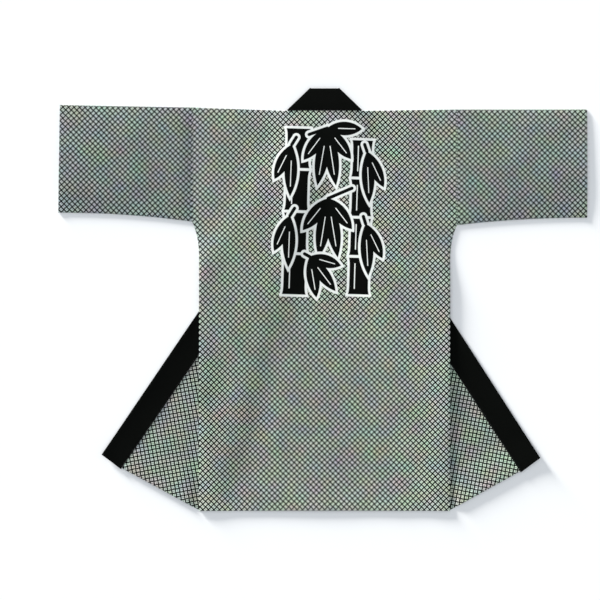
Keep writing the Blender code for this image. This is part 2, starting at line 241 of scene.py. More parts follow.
class FrontPlan:
    """The flat cut of one front and its collar in plan, as rows from the shoulder to the hem.

    A row runs from the side edge to the collar seam and on to the collar's free edge. Its share is
    0 at the shoulder and 1 at the hem. Points are (distance from the centre line, y).
    """

    rows_above: int = 32
    rows_beside: int = 16
    rows_below: int = 112
    bend_steps: int = 6
    halvings: int = 50

    def __init__(self, sizes: HalfSizes) -> None:
        """Works out where the crease crosses the rows.

        Args:
            sizes: The half that the plan is for.
        """
        self.sizes, self.body, self.band = sizes, Body(), Band()
        self.drape, self.walls, self.hem = Drape(), Walls(), Hem()
        body = self.body
        self.fold = Fold(Vector((body.hem_half - body.fold_inset, body.hem_y)), sizes.fold_lean_deg)
        self.seam_top = Vector((body.neck_half, body.neck_y))
        self.seam_foot = Vector((body.hem_half - sizes.front_width, body.hem_y - sizes.front_drop))
        self.crease_foot = self.share_on_fold(self.seam)
        self.band_foot = self.share_on_fold(self.band_seam)
        self.crease_top = self.share_on_fold(self.free_edge)
        self.rows = self.row_shares(self.crease_foot)
        self.band_rows = self.row_shares(self.band_foot)
        self.first_bend_row = self.rows_above
        self.crease_row = self.rows_above + self.rows_beside

    @property
    def length(self) -> float:
        """How far the collar's seam reaches down the coat."""
        return self.seam_top.y - self.seam_foot.y

    @property
    def stitch_share(self) -> float:
        """The row that the hem's stitches follow."""
        return 1 - self.hem.stitch_line / self.length

    def hem_distance(self, share: float) -> float:
        """How far a row lies from the hem."""
        return (1 - share) * self.length

    def row_shares(self, foot: float) -> list[float]:
        """The rows' shares.

        Args:
            foot: The share of the row that the crease ends on.

        Returns:
            Shares from 0 to 1, close together along the hem's stitches.
        """
        above = [self.crease_top * i / self.rows_above for i in range(self.rows_above)]
        beside = [blend(self.crease_top, foot, i / self.rows_beside) for i in range(self.rows_beside)]
        hem = [1 - distance / self.length for distance in self.hem.row_distances]
        below = [blend(foot, hem[0], i / self.rows_below) for i in range(self.rows_below)]
        return above + beside + below + hem

    def share_on_fold(self, edge: Callable[[float], Vector]) -> float:
        """The row whose end on an edge lies on the crease, by halving.

        Args:
            edge: The edge's point in plan for a row's share.

        Returns:
            The row's share.
        """
        low, high = 0.0, 1.0
        for _ in range(self.halvings):
            middle = (low + high) / 2
            if self.fold.distance(edge(middle)) > 0:
                low = middle
            else:
                high = middle
        return (low + high) / 2

    def seam(self, share: float) -> Vector:
        """The front's edge, where the collar is sewn on."""
        return self.seam_top.lerp(self.seam_foot, share)

    def sewn_line(self, share: float) -> Vector:
        """The same seam as the collar follows it, which hangs a little below the hem.

        Args:
            share: The row's share.

        Returns:
            The point in plan.
        """
        past = max(0.0, (share - self.crease_foot) / (1 - self.crease_foot))
        down = (self.seam_foot - self.seam_top).normalized()
        return self.seam(share) + down * self.band.overhang * past

    def band_seam(self, share: float) -> Vector:
        """The collar's own edge beside that seam."""
        return self.sewn_line(share) - Vector((self.walls.gap, 0))

    def band_width(self, share: float) -> float:
        """The band's width, which grows below the neck and then narrows to the hem.

        Args:
            share: The row's share.

        Returns:
            The width in metres.
        """
        band = self.band
        top_width = self.body.neck_half - band.top_half
        if share < band.taper_share:
            return blend(top_width, band.width, share / band.taper_share)
        return blend(band.width, band.end_width, (share - band.taper_share) / (1 - band.taper_share))

    def free_edge(self, share: float) -> Vector:
        """The collar's free edge."""
        return self.sewn_line(share) + Vector((-self.band_width(share), self.band.end_rise * share))

    def side_x(self, y: float) -> float:
        """The body's half width at a height below the underarm.

        Args:
            y: The height up the coat.

        Returns:
            The half width in metres.
        """
        body = self.body
        left_over = max(0.0, 1 - (self.sizes.underarm_y - y) / body.flare_length)
        return body.hem_half + (body.shoulder_half - body.hem_half) * left_over**body.flare_power

    def side_edge(self, share: float) -> Vector:
        """The armhole down to the underarm, then the side seam, which curves in from it.

        Args:
            share: The row's share.

        Returns:
            The point in plan.
        """
        body, sizes = self.body, self.sizes
        shoulder = Vector((body.shoulder_half, body.neck_y + sizes.shoulder_rise))
        underarm = Vector((body.shoulder_half, sizes.underarm_y))
        if share <= self.crease_foot:
            return shoulder.lerp(underarm, share / self.crease_foot)
        down = (share - self.crease_foot) / (1 - self.crease_foot)
        y = blend(underarm.y, body.hem_y, down)
        return Vector((self.side_x(y), y))

    def inner_end(self, share: float) -> Vector:
        """Where the part of a row that isn't turned over ends, on the seam or on the crease.

        Args:
            share: The row's share.

        Returns:
            The point in plan.
        """
        if share <= self.crease_foot:
            return self.seam(share)
        return self.fold.crossing(self.side_edge(share), self.seam(share))

    def band_end(self, share: float, start: Vector) -> Vector:
        """Where the part of a collar row that isn't turned over ends.

        Args:
            share: The row's share.
            start: The row's point on the collar's seam.

        Returns:
            The point in plan.
        """
        if share <= self.crease_top:
            return self.free_edge(share)
        return self.fold.crossing(start, self.free_edge(share))

    def flap_height(self, point: Vector) -> float:
        """How high a panel lies at a point to clear the flap and the collar on it.

        Args:
            point: The point in plan.

        Returns:
            The height in metres.
        """
        drape, walls = self.drape, self.walls
        flap, band = walls.cloth + walls.gap, walls.collar + walls.gap
        cut = self.fold.mirror(point)
        reach = self.seam((self.seam_top.y - cut.y) / self.length).x - cut.x
        if reach < 0:
            return blend(flap, band, slope_down((-reach - drape.level_reach) / drape.slope_reach))
        return band * slope_down((reach - self.band.width - drape.level_reach) / drape.slope_reach)

    def flap_free(self, point: Vector) -> float:
        """How freely a point of the flap lies: 0 under the back's side edge, 1 well clear of it."""
        clear = point.x - self.side_x(point.y) - self.drape.flap_free_from
        return 1 - slope_down(clear / self.drape.flap_free_reach)

    def flap_spring(self, share: float, point: Vector, part: float) -> float:
        """How far the turned-over flap or its collar springs off the floor at a point in plan.

        Args:
            share: The row's share.
            point: The point where it lies.
            part: How far across the collar it is, from 0 at the seam to 1 at the free edge.

        Returns:
            The height in metres.
        """
        drape = self.drape
        hem = drape.flap_hem_lift * slope_down(self.hem_distance(share) / drape.flap_hem_reach)
        return (hem + drape.band_edge_lift * part * part) * self.flap_free(point)

    def side_fade(self, share: float) -> float:
        """How fully the side seam stands off: not at the armhole, nor where the crease meets it.

        Args:
            share: The row's share.

        Returns:
            A share from 0 to 1.
        """
        edge, drape = self.side_edge(share), self.drape
        below = 1 - slope_down((self.sizes.underarm_y - edge.y) / drape.side_fade)
        return below * min(1.0, (edge - self.inner_end(share)).length / drape.side_fade)

    def lift(self, share: float, point: Vector) -> float:
        """How high a row that isn't turned over lies at one of its points, under the cloth.

        Args:
            share: The row's share.
            point: The point in plan.

        Returns:
            The height in metres.
        """
        level = self.flap_height(point)
        edge, walls, drape = self.side_edge(share), self.walls, self.drape
        spring = drape.side_lift * self.side_fade(share)
        spring *= math.exp((point.x - edge.x) / drape.side_lift_reach)
        return level + spring * level / (walls.collar + walls.gap)

    def band_lift(self, share: float, point: Vector) -> float:
        """The same on the collar, which lies level along its top stretch.

        Args:
            share: The row's share.
            point: The point in plan.

        Returns:
            The height in metres.
        """
        level = self.drape.neck_level_share
        if share < level:
            return self.lift(level, point + self.seam(level) - self.seam(share))
        return self.lift(share, point)

    def place(self, point: Vector, z: float) -> Vector:
        """A plan point of this half as a point of the coat."""
        return Vector((self.body.centre_x + self.sizes.sign * point.x, point.y, z))

    def cut_at(self, point: Vector) -> Vector:
        """The same point on the flat cut."""
        return Vector((self.sizes.sign * point.x, point.y))

    def bend(self, plan_cut: tuple[Vector, Vector], outward: Vector, low: float, high: float) -> list[Spot]:
        """A half round from the upper layer down to the lower one, both given by their middles.

        Args:
            plan_cut: The bend's place in plan, and on the flat cut.
            outward: Which way it bulges, in plan.
            low: The lower layer's middle.
            high: The upper layer's middle.

        Returns:
            The bend's spots, from the upper layer to the lower one.
        """
        centre, cut = plan_cut
        radius, middle = (high - low) / 2, (high + low) / 2
        made = []
        for i in range(self.bend_steps + 1):
            angle = math.pi * i / self.bend_steps
            plan = centre + outward * radius * math.sin(angle)
            place = self.place(plan, middle + radius * math.cos(angle))
            made.append(Spot(place, self.cut_at(cut + outward * radius * angle)))
        return made


# Creases and slow waves


@dataclass(frozen=True)
class Crease:
    """A soft ridge or trough left in a panel: its middle, its run, and how far it stands."""

    x: float
    y: float
    angle_deg: float
    length: float
    width: float
    depth: float
    reach: float = 4.0

    def rise(self, x: float, y: float) -> float:
        """How far it lifts the cloth at a point of the coat.

        Args:
            x: The point's x.
            y: The point's y.

        Returns:
            The height in metres, below 0 in a trough.
        """
        turn = math.radians(self.angle_deg)
        run = Vector((math.cos(turn), math.sin(turn)))
        offset = Vector((x - self.x, y - self.y))
        along, across = offset.dot(run), offset.cross(run)
        if abs(across) > self.reach * self.width:
            return 0.0
        return self.depth * math.exp(-((across / self.width) ** 2) - (2 * along / self.length) ** 4)


@dataclass(frozen=True)
class Relief:
    """How a panel departs from dead flat. It only ever stands up from its solid's surface."""

    creases: tuple[Crease, ...]
    seed: float
    mean: float = 0.00045
    wave: float = 0.00055
    wave_length: float = 0.085
    ripple: float = 0.00012
    ripple_length: float = 0.024
    softness: float = 0.00012
    strength: float = 1.0

    def rise(self, x: float, y: float) -> float:
        """How far the cloth stands up at a point of the coat.

        Args:
            x: The point's x.
            y: The point's y.

        Returns:
            The height in metres.
        """
        place, seed = Vector((x, y, 0)), Vector((0, 0, self.seed))
        total = self.mean
        total += self.wave * noise.noise(place / self.wave_length + seed)
        total += self.ripple * noise.noise(place / self.ripple_length - seed)
        total += self.strength * sum(crease.rise(x, y) for crease in self.creases)
        return (total + math.sqrt(total * total + self.softness**2)) / 2


#          x       y       angle  length  width   depth
BACK_CREASES = (
    Crease(0.004, -0.3420, 0.3, 0.560, 0.0075, 0.00034),
    Crease(0.004, -0.3300, 0.3, 0.560, 0.0085, -0.00026),
    Crease(-0.171, -0.1100, 91.0, 0.620, 0.0100, 0.00030),
    Crease(-0.116, -0.0500, 89.0, 0.560, 0.0090, -0.00026),
    Crease(-0.061, -0.0900, 90.5, 0.640, 0.0110, 0.00026),
    Crease(0.093, -0.0600, 89.0, 0.600, 0.0100, 0.00030),
    Crease(0.168, -0.1500, 90.5, 0.460, 0.0110, -0.00024),
    Crease(-0.195, 0.1550, 38.0, 0.170, 0.0120, 0.00040),
    Crease(-0.165, 0.1050, 52.0, 0.150, 0.0110, -0.00030),
    Crease(0.205, 0.1500, 144.0, 0.180, 0.0120, 0.00040),
    Crease(0.175, 0.0950, 128.0, 0.150, 0.0110, -0.00030),
    Crease(0.010, 0.3600, 2.0, 0.240, 0.0120, 0.00024),
)
SLEEVE_CREASES = (
    Crease(0.350, 0.3350, -28.0, 0.170, 0.0120, 0.00050),
    Crease(0.390, 0.2600, -40.0, 0.180, 0.0110, -0.00040),
    Crease(0.460, 0.3300, -34.0, 0.190, 0.0130, 0.00046),
    Crease(0.510, 0.2400, -52.0, 0.140, 0.0110, 0.00036),
    Crease(0.330, 0.2100, -62.0, 0.110, 0.0100, 0.00042),
    Crease(-0.345, 0.3300, 30.0, 0.180, 0.0120, 0.00050),
    Crease(-0.400, 0.2750, 44.0, 0.190, 0.0120, -0.00040),
    Crease(-0.470, 0.3450, 32.0, 0.170, 0.0130, 0.00046),
    Crease(-0.520, 0.2650, 56.0, 0.140, 0.0110, 0.00036),
    Crease(-0.318, 0.2200, 60.0, 0.110, 0.0100, 0.00042),
)
FLAP_CREASES = (
    Crease(0.325, -0.3110, -40.0, 0.110, 0.0080, 0.00050),
    Crease(0.345, -0.3720, 4.0, 0.150, 0.0100, 0.00030),
    Crease(0.300, -0.2300, 62.0, 0.120, 0.0090, 0.00026),
    Crease(-0.330, -0.3600, -6.0, 0.150, 0.0100, 0.00034),
    Crease(-0.300, -0.2500, 118.0, 0.130, 0.0090, 0.00026),
)


# Node trees


class Graph:
    """A node tree being filled in, with short calls for the nodes that recur."""

    def __init__(self, tree: Tree) -> None:
        """Takes up a tree.

        Args:
            tree: The tree that the nodes are made in.
        """
        self.tree = tree

    def node(self, kind: str, **settings: object) -> bpy.types.Node:
        """Adds a node and gives it settings.

        Args:
            kind: The node's type.
            settings: Its properties.

        Returns:
            The node.
        """
        made = self.tree.nodes.new(kind)
        for name, value in settings.items():
            setattr(made, name, value)
        return made

    def feed(self, socket: Socket, value: object) -> None:
        """Links a socket, or sets its constant.

        Args:
            socket: The socket that is fed.
            value: Another socket, or a constant.
        """
        if isinstance(value, bpy.types.NodeSocket):
            self.tree.links.new(value, socket)
        else:
            socket.default_value = value

    def fill(
        self, node: bpy.types.Node, values: Sequence[object], places: Sequence[int] = (0, 1, 2)
    ) -> bpy.types.Node:
        """Feeds a node's inputs.

        Args:
            node: The node.
            values: What the inputs get, in order.
            places: Which of its inputs those are.

        Returns:
            The same node.
        """
        for place, value in zip(places, values):
            self.feed(node.inputs[place], value)
        return node

    def math(self, operation: str, *values: object, clamp: bool = False) -> Socket:
        """A Math node's output, kept between 0 and 1 if clamp is set."""
        made = self.node("ShaderNodeMath", operation=operation, use_clamp=clamp)
        return self.fill(made, values).outputs[0]

    def vector(self, operation: str, *values: object) -> Socket:
        """A Vector Math node's vector, or its value for a length or a dot product."""
        made = self.fill(self.node("ShaderNodeVectorMath", operation=operation), values)
        return made.outputs["Value" if operation in ("LENGTH", "DOT_PRODUCT") else "Vector"]

    def mix(self, share: object, first: object, second: object) -> Socket:
        """A mix of two values, which is the first one at share 0."""
        made = self.node("ShaderNodeMix", data_type="FLOAT")
        return self.fill(made, (share, first, second), (0, 2, 3)).outputs[0]

    def colours(self, share: object, first: object, second: object) -> Socket:
        """A mix of two colours, which is the first one at share 0."""
        made = self.node("ShaderNodeMix", data_type="RGBA")
        return self.fill(made, (share, first, second), (0, 6, 7)).outputs[2]

    def parts(self, vector: Socket) -> tuple[Socket, Socket, Socket]:
        """A vector's x, y and z."""
        made = self.fill(self.node("ShaderNodeSeparateXYZ"), (vector,))
        return made.outputs[0], made.outputs[1], made.outputs[2]

    def join(self, x: object, y: object) -> Socket:
        """A flat vector with this x and y."""
        return self.fill(self.node("ShaderNodeCombineXYZ"), (x, y)).outputs[0]

    def noise(self, vector: Socket, scale: float, detail: float = 2.0, coloured: bool = False) -> Socket:
        """A noise, about 0.5 on average.

        Args:
            vector: Where it is read, in metres.
            scale: How many cells there are in a metre.
            detail: How many finer layers it has.
            coloured: Whether it is a colour, with a noise in each channel.

        Returns:
            The value, or the colour.
        """
        made = self.node("ShaderNodeTexNoise")
        self.feed(made.inputs["Vector"], vector)
        self.feed(made.inputs["Scale"], scale)
        self.feed(made.inputs["Detail"], detail)
        return made.outputs["Color"] if coloured else made.outputs[0]

    def scale(self, vector: object, factor: object) -> Socket:
        """A vector or a colour times a number."""
        made = self.node("ShaderNodeVectorMath", operation="SCALE")
        return self.fill(made, (vector, factor), (0, 3)).outputs[0]

    def place(self, group: Tree, **values: object) -> bpy.types.Node:
        """Places a node group and feeds its inputs, an underscore standing for a space.

        Args:
            group: The node group.
            values: Its inputs.

        Returns:
            The group's node.
        """
        made = self.node("ShaderNodeGroup", node_tree=group)
        for name, value in values.items():
            self.feed(made.inputs[name.replace("_", " ")], value)
        return made


class SocketKind(Enum):
    """The kinds of socket that the groups have."""

    VALUE = "NodeSocketFloat"
    VECTOR = "NodeSocketVector"


class Group:
    """A shader node group with named inputs and outputs."""

    def __init__(self, name: str, inputs: dict[str, SocketKind], outputs: Sequence[str]) -> None:
        """Makes the group's tree and its sockets.

        Args:
            name: The group's name.
            inputs: Each input's name and kind.
            outputs: The outputs' names, all values.
        """
        self.tree = bpy.data.node_groups.new(name, "ShaderNodeTree")
        for label, kind in inputs.items():
            self.tree.interface.new_socket(name=label, in_out="INPUT", socket_type=kind.value)
        for label in outputs:
            self.tree.interface.new_socket(name=label, in_out="OUTPUT", socket_type=SocketKind.VALUE.value)
        self.graph = Graph(self.tree)
        self.inputs = self.graph.node("NodeGroupInput").outputs
        self.outputs = self.graph.node("NodeGroupOutput").inputs


@dataclass(frozen=True)
class Bar:
    """One white bar of the check, in shares of a block's side, and how far it strays in metres."""

    offset: float = 0.2025
    half_length: float = 0.330
    half_width: float = 0.150
    corner: float = 0.06
    wobble: float = 0.0006
    wobble_scale: float = 900.0


def basket_check_group(bar: Bar) -> Tree:
    """The print: square blocks set on their corners, each with two bars that turn from block to block.

    Args:
        bar: The bars' shape.

    Returns:
        A group that takes the flat cut in metres and gives 1 on a white bar and 0 on the black.
    """
    sockets = {"Cut": SocketKind.VECTOR, "Pitch": SocketKind.VALUE, "Blur": SocketKind.VALUE}
    made = Group("basket_check", sockets, ["Bars"])
    graph = made.graph
    wobble = graph.noise(made.inputs["Cut"], bar.wobble_scale, 1.0)
    shift = graph.math("MULTIPLY", graph.math("SUBTRACT", wobble, 0.5), bar.wobble)
    diagonal = math.sqrt(0.5)
    insides, floors = [], []
    for direction in ((diagonal, diagonal, 0.0), (-diagonal, diagonal, 0.0)):
        run = graph.vector("DOT_PRODUCT", made.inputs["Cut"], direction)
        run = graph.math("DIVIDE", graph.math("ADD", run, shift), made.inputs["Pitch"])
        floors.append(graph.math("FLOOR", run))
        inside = graph.math("SUBTRACT", graph.math("FRACT", run), 0.5)
        insides.append(graph.math("ABSOLUTE", inside))
    parity = graph.math("FLOORED_MODULO", graph.math("ADD", *floors), 2.0)
    along = graph.mix(parity, insides[0], insides[1])
    across = graph.mix(parity, insides[1], insides[0])
    across = graph.math("ABSOLUTE", graph.math("SUBTRACT", across, bar.offset))
    over_x = graph.math("MAXIMUM", graph.math("SUBTRACT", along, bar.half_length - bar.corner), 0.0)
    over_y = graph.math("MAXIMUM", graph.math("SUBTRACT", across, bar.half_width - bar.corner), 0.0)
    beyond = graph.math("SUBTRACT", graph.vector("LENGTH", graph.join(over_x, over_y)), bar.corner)
    bars = graph.math("SUBTRACT", 0.5, graph.math("DIVIDE", beyond, made.inputs["Blur"]), clamp=True)
    graph.feed(made.outputs["Bars"], bars)
    return made.tree


@dataclass(frozen=True)
class Slubs:
    """How uneven the threads of the weave are, and how far that shows in their tone, which also holds painted
    shade between the threads.
    """

    scale: tuple[float, float, float] = (240.0, 1700.0, 0.0)
    least: float = 0.6
    swing: float = 0.8
    # tone_least and tone_swing set both the slubs' random tone and the painted shade between the threads
    tone_least: float = 0.92
    tone_swing: float = 0.08


def weave_group(slubs: Slubs) -> Tree:
    """A plain weave: threads that pass over and under each other, with slubs.

    Args:
        slubs: How uneven the threads are.

    Returns:
        A group that gives the weave's height, and a tone near 1 for its colour: random with the slubs, and
        darker between the threads as painted shade.
    """
    made = Group("plain_weave", {"Cut": SocketKind.VECTOR, "Thread": SocketKind.VALUE}, ["Height", "Tone"])
    graph = made.graph
    x, y, _ = graph.parts(made.inputs["Cut"])
    ridges, floors = [], []
    for run in (x, y):
        count = graph.math("DIVIDE", run, made.inputs["Thread"])
        floors.append(graph.math("FLOOR", count))
        ridges.append(graph.math("ABSOLUTE", graph.math("SINE", graph.math("MULTIPLY", count, math.pi))))
    parity = graph.math("FLOORED_MODULO", graph.math("ADD", *floors), 2.0)
    height = graph.mix(parity, ridges[0], ridges[1])
    bumps = graph.noise(graph.vector("MULTIPLY", made.inputs["Cut"], slubs.scale), 1.0)
    fullness = graph.math("ADD", slubs.least, graph.math("MULTIPLY", bumps, slubs.swing))
    height = graph.math("MULTIPLY", height, fullness)
    # tone: random with the slubs, plus painted shade that darkens it where the height sinks between the
    # threads
    tone = graph.math("MULTIPLY", graph.math("ADD", height, bumps), slubs.tone_swing)
    graph.feed(made.outputs["Height"], height)
    graph.feed(made.outputs["Tone"], graph.math("ADD", slubs.tone_least, tone))
    return made.tree


def mottle_group(slow_scale: float = 9.0, fine_scale: float = 60.0, fine_share: float = 0.25) -> Tree:
    """Slow unevenness of dye and handling over a panel, near 1; on the collar it sets how strongly the
    painted highlight on the threads shows.

    Args:
        slow_scale: How many large patches there are in a metre.
        fine_scale: How many small ones.
        fine_share: How much of it is in the small ones.

    Returns:
        A group that gives the tone at a place in metres.
    """
    made = Group("mottle", {"Place": SocketKind.VECTOR, "Amount": SocketKind.VALUE}, ["Tone"])
    graph = made.graph
    slow = graph.noise(made.inputs["Place"], slow_scale, 3.0)
    fine = graph.noise(made.inputs["Place"], fine_scale)
    slow, fine = graph.math("MULTIPLY", slow, 1 - fine_share), graph.math("MULTIPLY", fine, fine_share)
    swing = graph.math("SUBTRACT", graph.math("ADD", slow, fine), 0.5)
    swing = graph.math("MULTIPLY", swing, made.inputs["Amount"])
    graph.feed(made.outputs["Tone"], graph.math("ADD", 1.0, swing))
    return made.tree


@dataclass(frozen=True)
class BambooLines:
    """The fine lines of the printed bamboo. Places along and across a shape are shares of it."""

    outline: float = 0.0055
    edge: float = 0.0003
    vein_half_width: float = 0.0010
    vein_middle: float = 0.12
    vein_half_length: float = 0.50
    joint_flare: float = 0.12
    joint_power: float = 6.0
    shine_half_width: float = 0.0012
    shine_place: float = 0.45
    shine_half_length: float = 0.70


LINES = BambooLines()


class Shape(Enum):
    """The shapes that the bamboo is printed with."""

    LEAF = "bamboo_leaf"
    CANE = "bamboo_cane"
    TWIG = "bamboo_twig"


@dataclass(frozen=True)
class Seen:
    """A point as seen from a shape's middle, with the shape's half sizes, all as node values."""

    along: Socket
    across: Socket
    half_length: Socket
    half_width: Socket


def stamp_group(shape: Shape) -> Tree:
    """One shape of the bamboo, joined to those of its cluster that come before it.

    Args:
        shape: A pointed leaf, a length of cane, or a twig.

    Returns:
        A group that passes on how far a point lies from the cluster, and the white lines inside it.
    """
    sockets = {"Cut": SocketKind.VECTOR, "Middle": SocketKind.VECTOR}
    for name in ("Turn", "Half Length", "Half Width", "Distance", "Line"):
        sockets[name] = SocketKind.VALUE
    made = Group(shape.value, sockets, ["Distance", "Line"])
    graph, given = made.graph, made.inputs
    x, y, _ = graph.parts(graph.vector("SUBTRACT", given["Cut"], given["Middle"]))
    cosine, sine = graph.math("COSINE", given["Turn"]), graph.math("SINE", given["Turn"])
    along = graph.math("ADD", graph.math("MULTIPLY", x, cosine), graph.math("MULTIPLY", y, sine))
    across = graph.math("SUBTRACT", graph.math("MULTIPLY", y, cosine), graph.math("MULTIPLY", x, sine))
    draw = {Shape.LEAF: draw_leaf, Shape.CANE: draw_cane, Shape.TWIG: draw_twig}[shape]
    beyond, line = draw(graph, Seen(along, across, given["Half Length"], given["Half Width"]))
    graph.feed(made.outputs["Distance"], graph.math("MINIMUM", given["Distance"], beyond))
    graph.feed(made.outputs["Line"], graph.math("MAXIMUM", given["Line"], line))
    return made.tree


def draw_leaf(graph: Graph, seen: Seen) -> tuple[Socket, object]:
    """A leaf between two arcs, and its vein.

    Args:
        graph: The group's tree.
        seen: The point and the half sizes.

    Returns:
        The distance outside the leaf, and 1 on its vein.
    """
    aside, length, width = graph.math("ABSOLUTE", seen.across), seen.half_length, seen.half_width
    ratio = graph.math("DIVIDE", graph.math("MULTIPLY", length, length), width)
    radius = graph.math("MULTIPLY", graph.math("ADD", ratio, width), 0.5)
    shifted = graph.math("ADD", aside, graph.math("SUBTRACT", radius, width))
    beyond = graph.math("SUBTRACT", graph.vector("LENGTH", graph.join(shifted, seen.along)), radius)
    place = graph.math("SUBTRACT", graph.math("DIVIDE", seen.along, length), LINES.vein_middle)
    inside = graph.math("LESS_THAN", graph.math("ABSOLUTE", place), LINES.vein_half_length)
    return beyond, graph.math("MULTIPLY", graph.math("LESS_THAN", aside, LINES.vein_half_width), inside)


def draw_cane(graph: Graph, seen: Seen) -> tuple[Socket, object]:
    """A length of cane that widens at its joints, and the shine along it.

    Args:
        graph: The group's tree.
        seen: The point and the half sizes.

    Returns:
        The distance outside the cane, and 1 on its shine.
    """
    share = graph.math("ABSOLUTE", graph.math("DIVIDE", seen.along, seen.half_length))
    flare = graph.math("MULTIPLY", graph.math("POWER", share, LINES.joint_power), LINES.joint_flare)
    side = graph.math("MULTIPLY", seen.half_width, graph.math("ADD", 1.0, flare))
    wide = graph.math("SUBTRACT", graph.math("ABSOLUTE", seen.across), side)
    tall = graph.math("SUBTRACT", graph.math("ABSOLUTE", seen.along), seen.half_length)
    outer = graph.join(graph.math("MAXIMUM", wide, 0.0), graph.math("MAXIMUM", tall, 0.0))
    inner = graph.math("MINIMUM", graph.math("MAXIMUM", wide, tall), 0.0)
    beyond = graph.math("ADD", graph.vector("LENGTH", outer), inner)
    shine = graph.math("MULTIPLY", seen.half_width, LINES.shine_place)
    shine = graph.math("ABSOLUTE", graph.math("SUBTRACT", seen.across, shine))
    inside = graph.math("LESS_THAN", share, LINES.shine_half_length)
    return beyond, graph.math("MULTIPLY", graph.math("LESS_THAN", shine, LINES.shine_half_width), inside)


def draw_twig(graph: Graph, seen: Seen) -> tuple[Socket, object]:
    """A plain twig with round ends.

    Args:
        graph: The group's tree.
        seen: The point and the half sizes.

    Returns:
        The distance outside the twig, and 0 because no white line runs along it.
    """
    tall = graph.math("SUBTRACT", graph.math("ABSOLUTE", seen.along), seen.half_length)
    tall = graph.math("MAXIMUM", tall, 0.0)
    reach = graph.vector("LENGTH", graph.join(seen.across, tall))
    return graph.math("SUBTRACT", reach, seen.half_width), 0.0


def layer_group() -> Tree:
    """A finished cluster, black with a white outline, laid over what is printed already.

    Returns:
        A group that passes on the paint's whiteness and the painted area.
    """
    names = ("Distance", "Line", "White", "Cover")
    made = Group("bamboo_layer", {name: SocketKind.VALUE for name in names}, ["White", "Cover"])
    graph, given = made.graph, made.inputs
    black = graph.math("SUBTRACT", 0.5, graph.math("DIVIDE", given["Distance"], LINES.edge), clamp=True)
    rim = graph.math("SUBTRACT", given["Distance"], LINES.outline)
    covered = graph.math("SUBTRACT", 0.5, graph.math("DIVIDE", rim, LINES.edge), clamp=True)
    paint = graph.math("MAXIMUM", graph.math("SUBTRACT", 1.0, black), given["Line"])
    graph.feed(made.outputs["White"], graph.mix(covered, given["White"], paint))
    graph.feed(made.outputs["Cover"], graph.math("MAXIMUM", given["Cover"], covered))
    return made.tree


@dataclass(frozen=True)
class Stamp:
    """One shape of the bamboo: the points of the back that it runs between, and its half width."""

    shape: Shape
    start: tuple[float, float]
    end: tuple[float, float]
    half_width: float

    @property
    def middle(self) -> tuple[float, float, float]:
        """The point halfway along it."""
        return (self.start[0] + self.end[0]) / 2, (self.start[1] + self.end[1]) / 2, 0.0

    @property
    def turn(self) -> float:
        """Which way it runs, as an angle."""
        return math.atan2(self.end[1] - self.start[1], self.end[0] - self.start[0])

    @property
    def half_length(self) -> float:
        """Half its length."""
        return math.dist(self.start, self.end) / 2


@dataclass(frozen=True)
class Spray:
    """A spray of leaves: where its twig starts, where the leaves meet, and their tips."""

    twig: tuple[float, float]
    base: tuple[float, float]
    tips: tuple[tuple[float, float], ...]
    leaf_half_width: float = 0.0140
    twig_half_width: float = 0.0036

    def stamps(self) -> list[Stamp]:
        """The twig, and a leaf to each tip."""
        leaves = [Stamp(Shape.LEAF, self.base, tip, self.leaf_half_width) for tip in self.tips]
        return [Stamp(Shape.TWIG, self.twig, self.base, self.twig_half_width), *leaves]


@dataclass(frozen=True)
class Stalk:
    """A bamboo stalk: its foot and top, its half width, and the gap at each joint."""

    foot: tuple[float, float]
    top: tuple[float, float]
    half_width: float
    joints: int = 4
    gap: float = 0.006

    def stamps(self) -> list[Stamp]:
        """A length of cane between each two joints.

        Returns:
            The lengths, from the foot up.
        """
        foot, top = Vector(self.foot), Vector(self.top)
        step = (top - foot) / self.joints
        gap = step.normalized() * self.gap / 2
        made = []
        for k in range(self.joints):
            start, end = foot + step * k + gap, foot + step * (k + 1) - gap
            made.append(Stamp(Shape.CANE, tuple(start), tuple(end), self.half_width))
        return made


STALKS = (
    Stalk((-0.0680, 0.0080), (-0.0570, 0.3780), 0.0235),
    Stalk((0.0740, 0.0080), (0.0840, 0.3520), 0.0205),
)
#          twig               base                tips of the leaves, and their half width
SPRAYS = (
    Spray((-0.0340, 0.3620), (0.0060, 0.3760),
          ((0.0820, 0.3740), (0.0580, 0.3080), (0.0250, 0.2500), (-0.0160, 0.2500), (-0.0460, 0.3060)),
          0.0150),
    Spray((0.0600, 0.2440), (0.0080, 0.2220),
          ((0.0600, 0.1540), (0.0290, 0.0920), (-0.0130, 0.0920), (-0.0480, 0.1520)),
          0.0155),
    Spray((-0.0620, 0.3560), (-0.0720, 0.3400), ((-0.1100, 0.2640), (-0.0760, 0.2260))),
    Spray((-0.0660, 0.2000), (-0.0760, 0.1840), ((-0.1110, 0.1060), (-0.0800, 0.0700))),
    Spray((0.0880, 0.3400), (0.0930, 0.3250), ((0.1300, 0.2460), (0.0980, 0.2120))),
    Spray((0.0850, 0.1820), (0.0900, 0.1660), ((0.1270, 0.0900), (0.0960, 0.0520))),
    Spray((-0.0440, 0.1000), (-0.0330, 0.0940), ((0.0360, 0.0740), (0.0240, 0.0180), (-0.0180, 0.0040))),
)


# Finishes


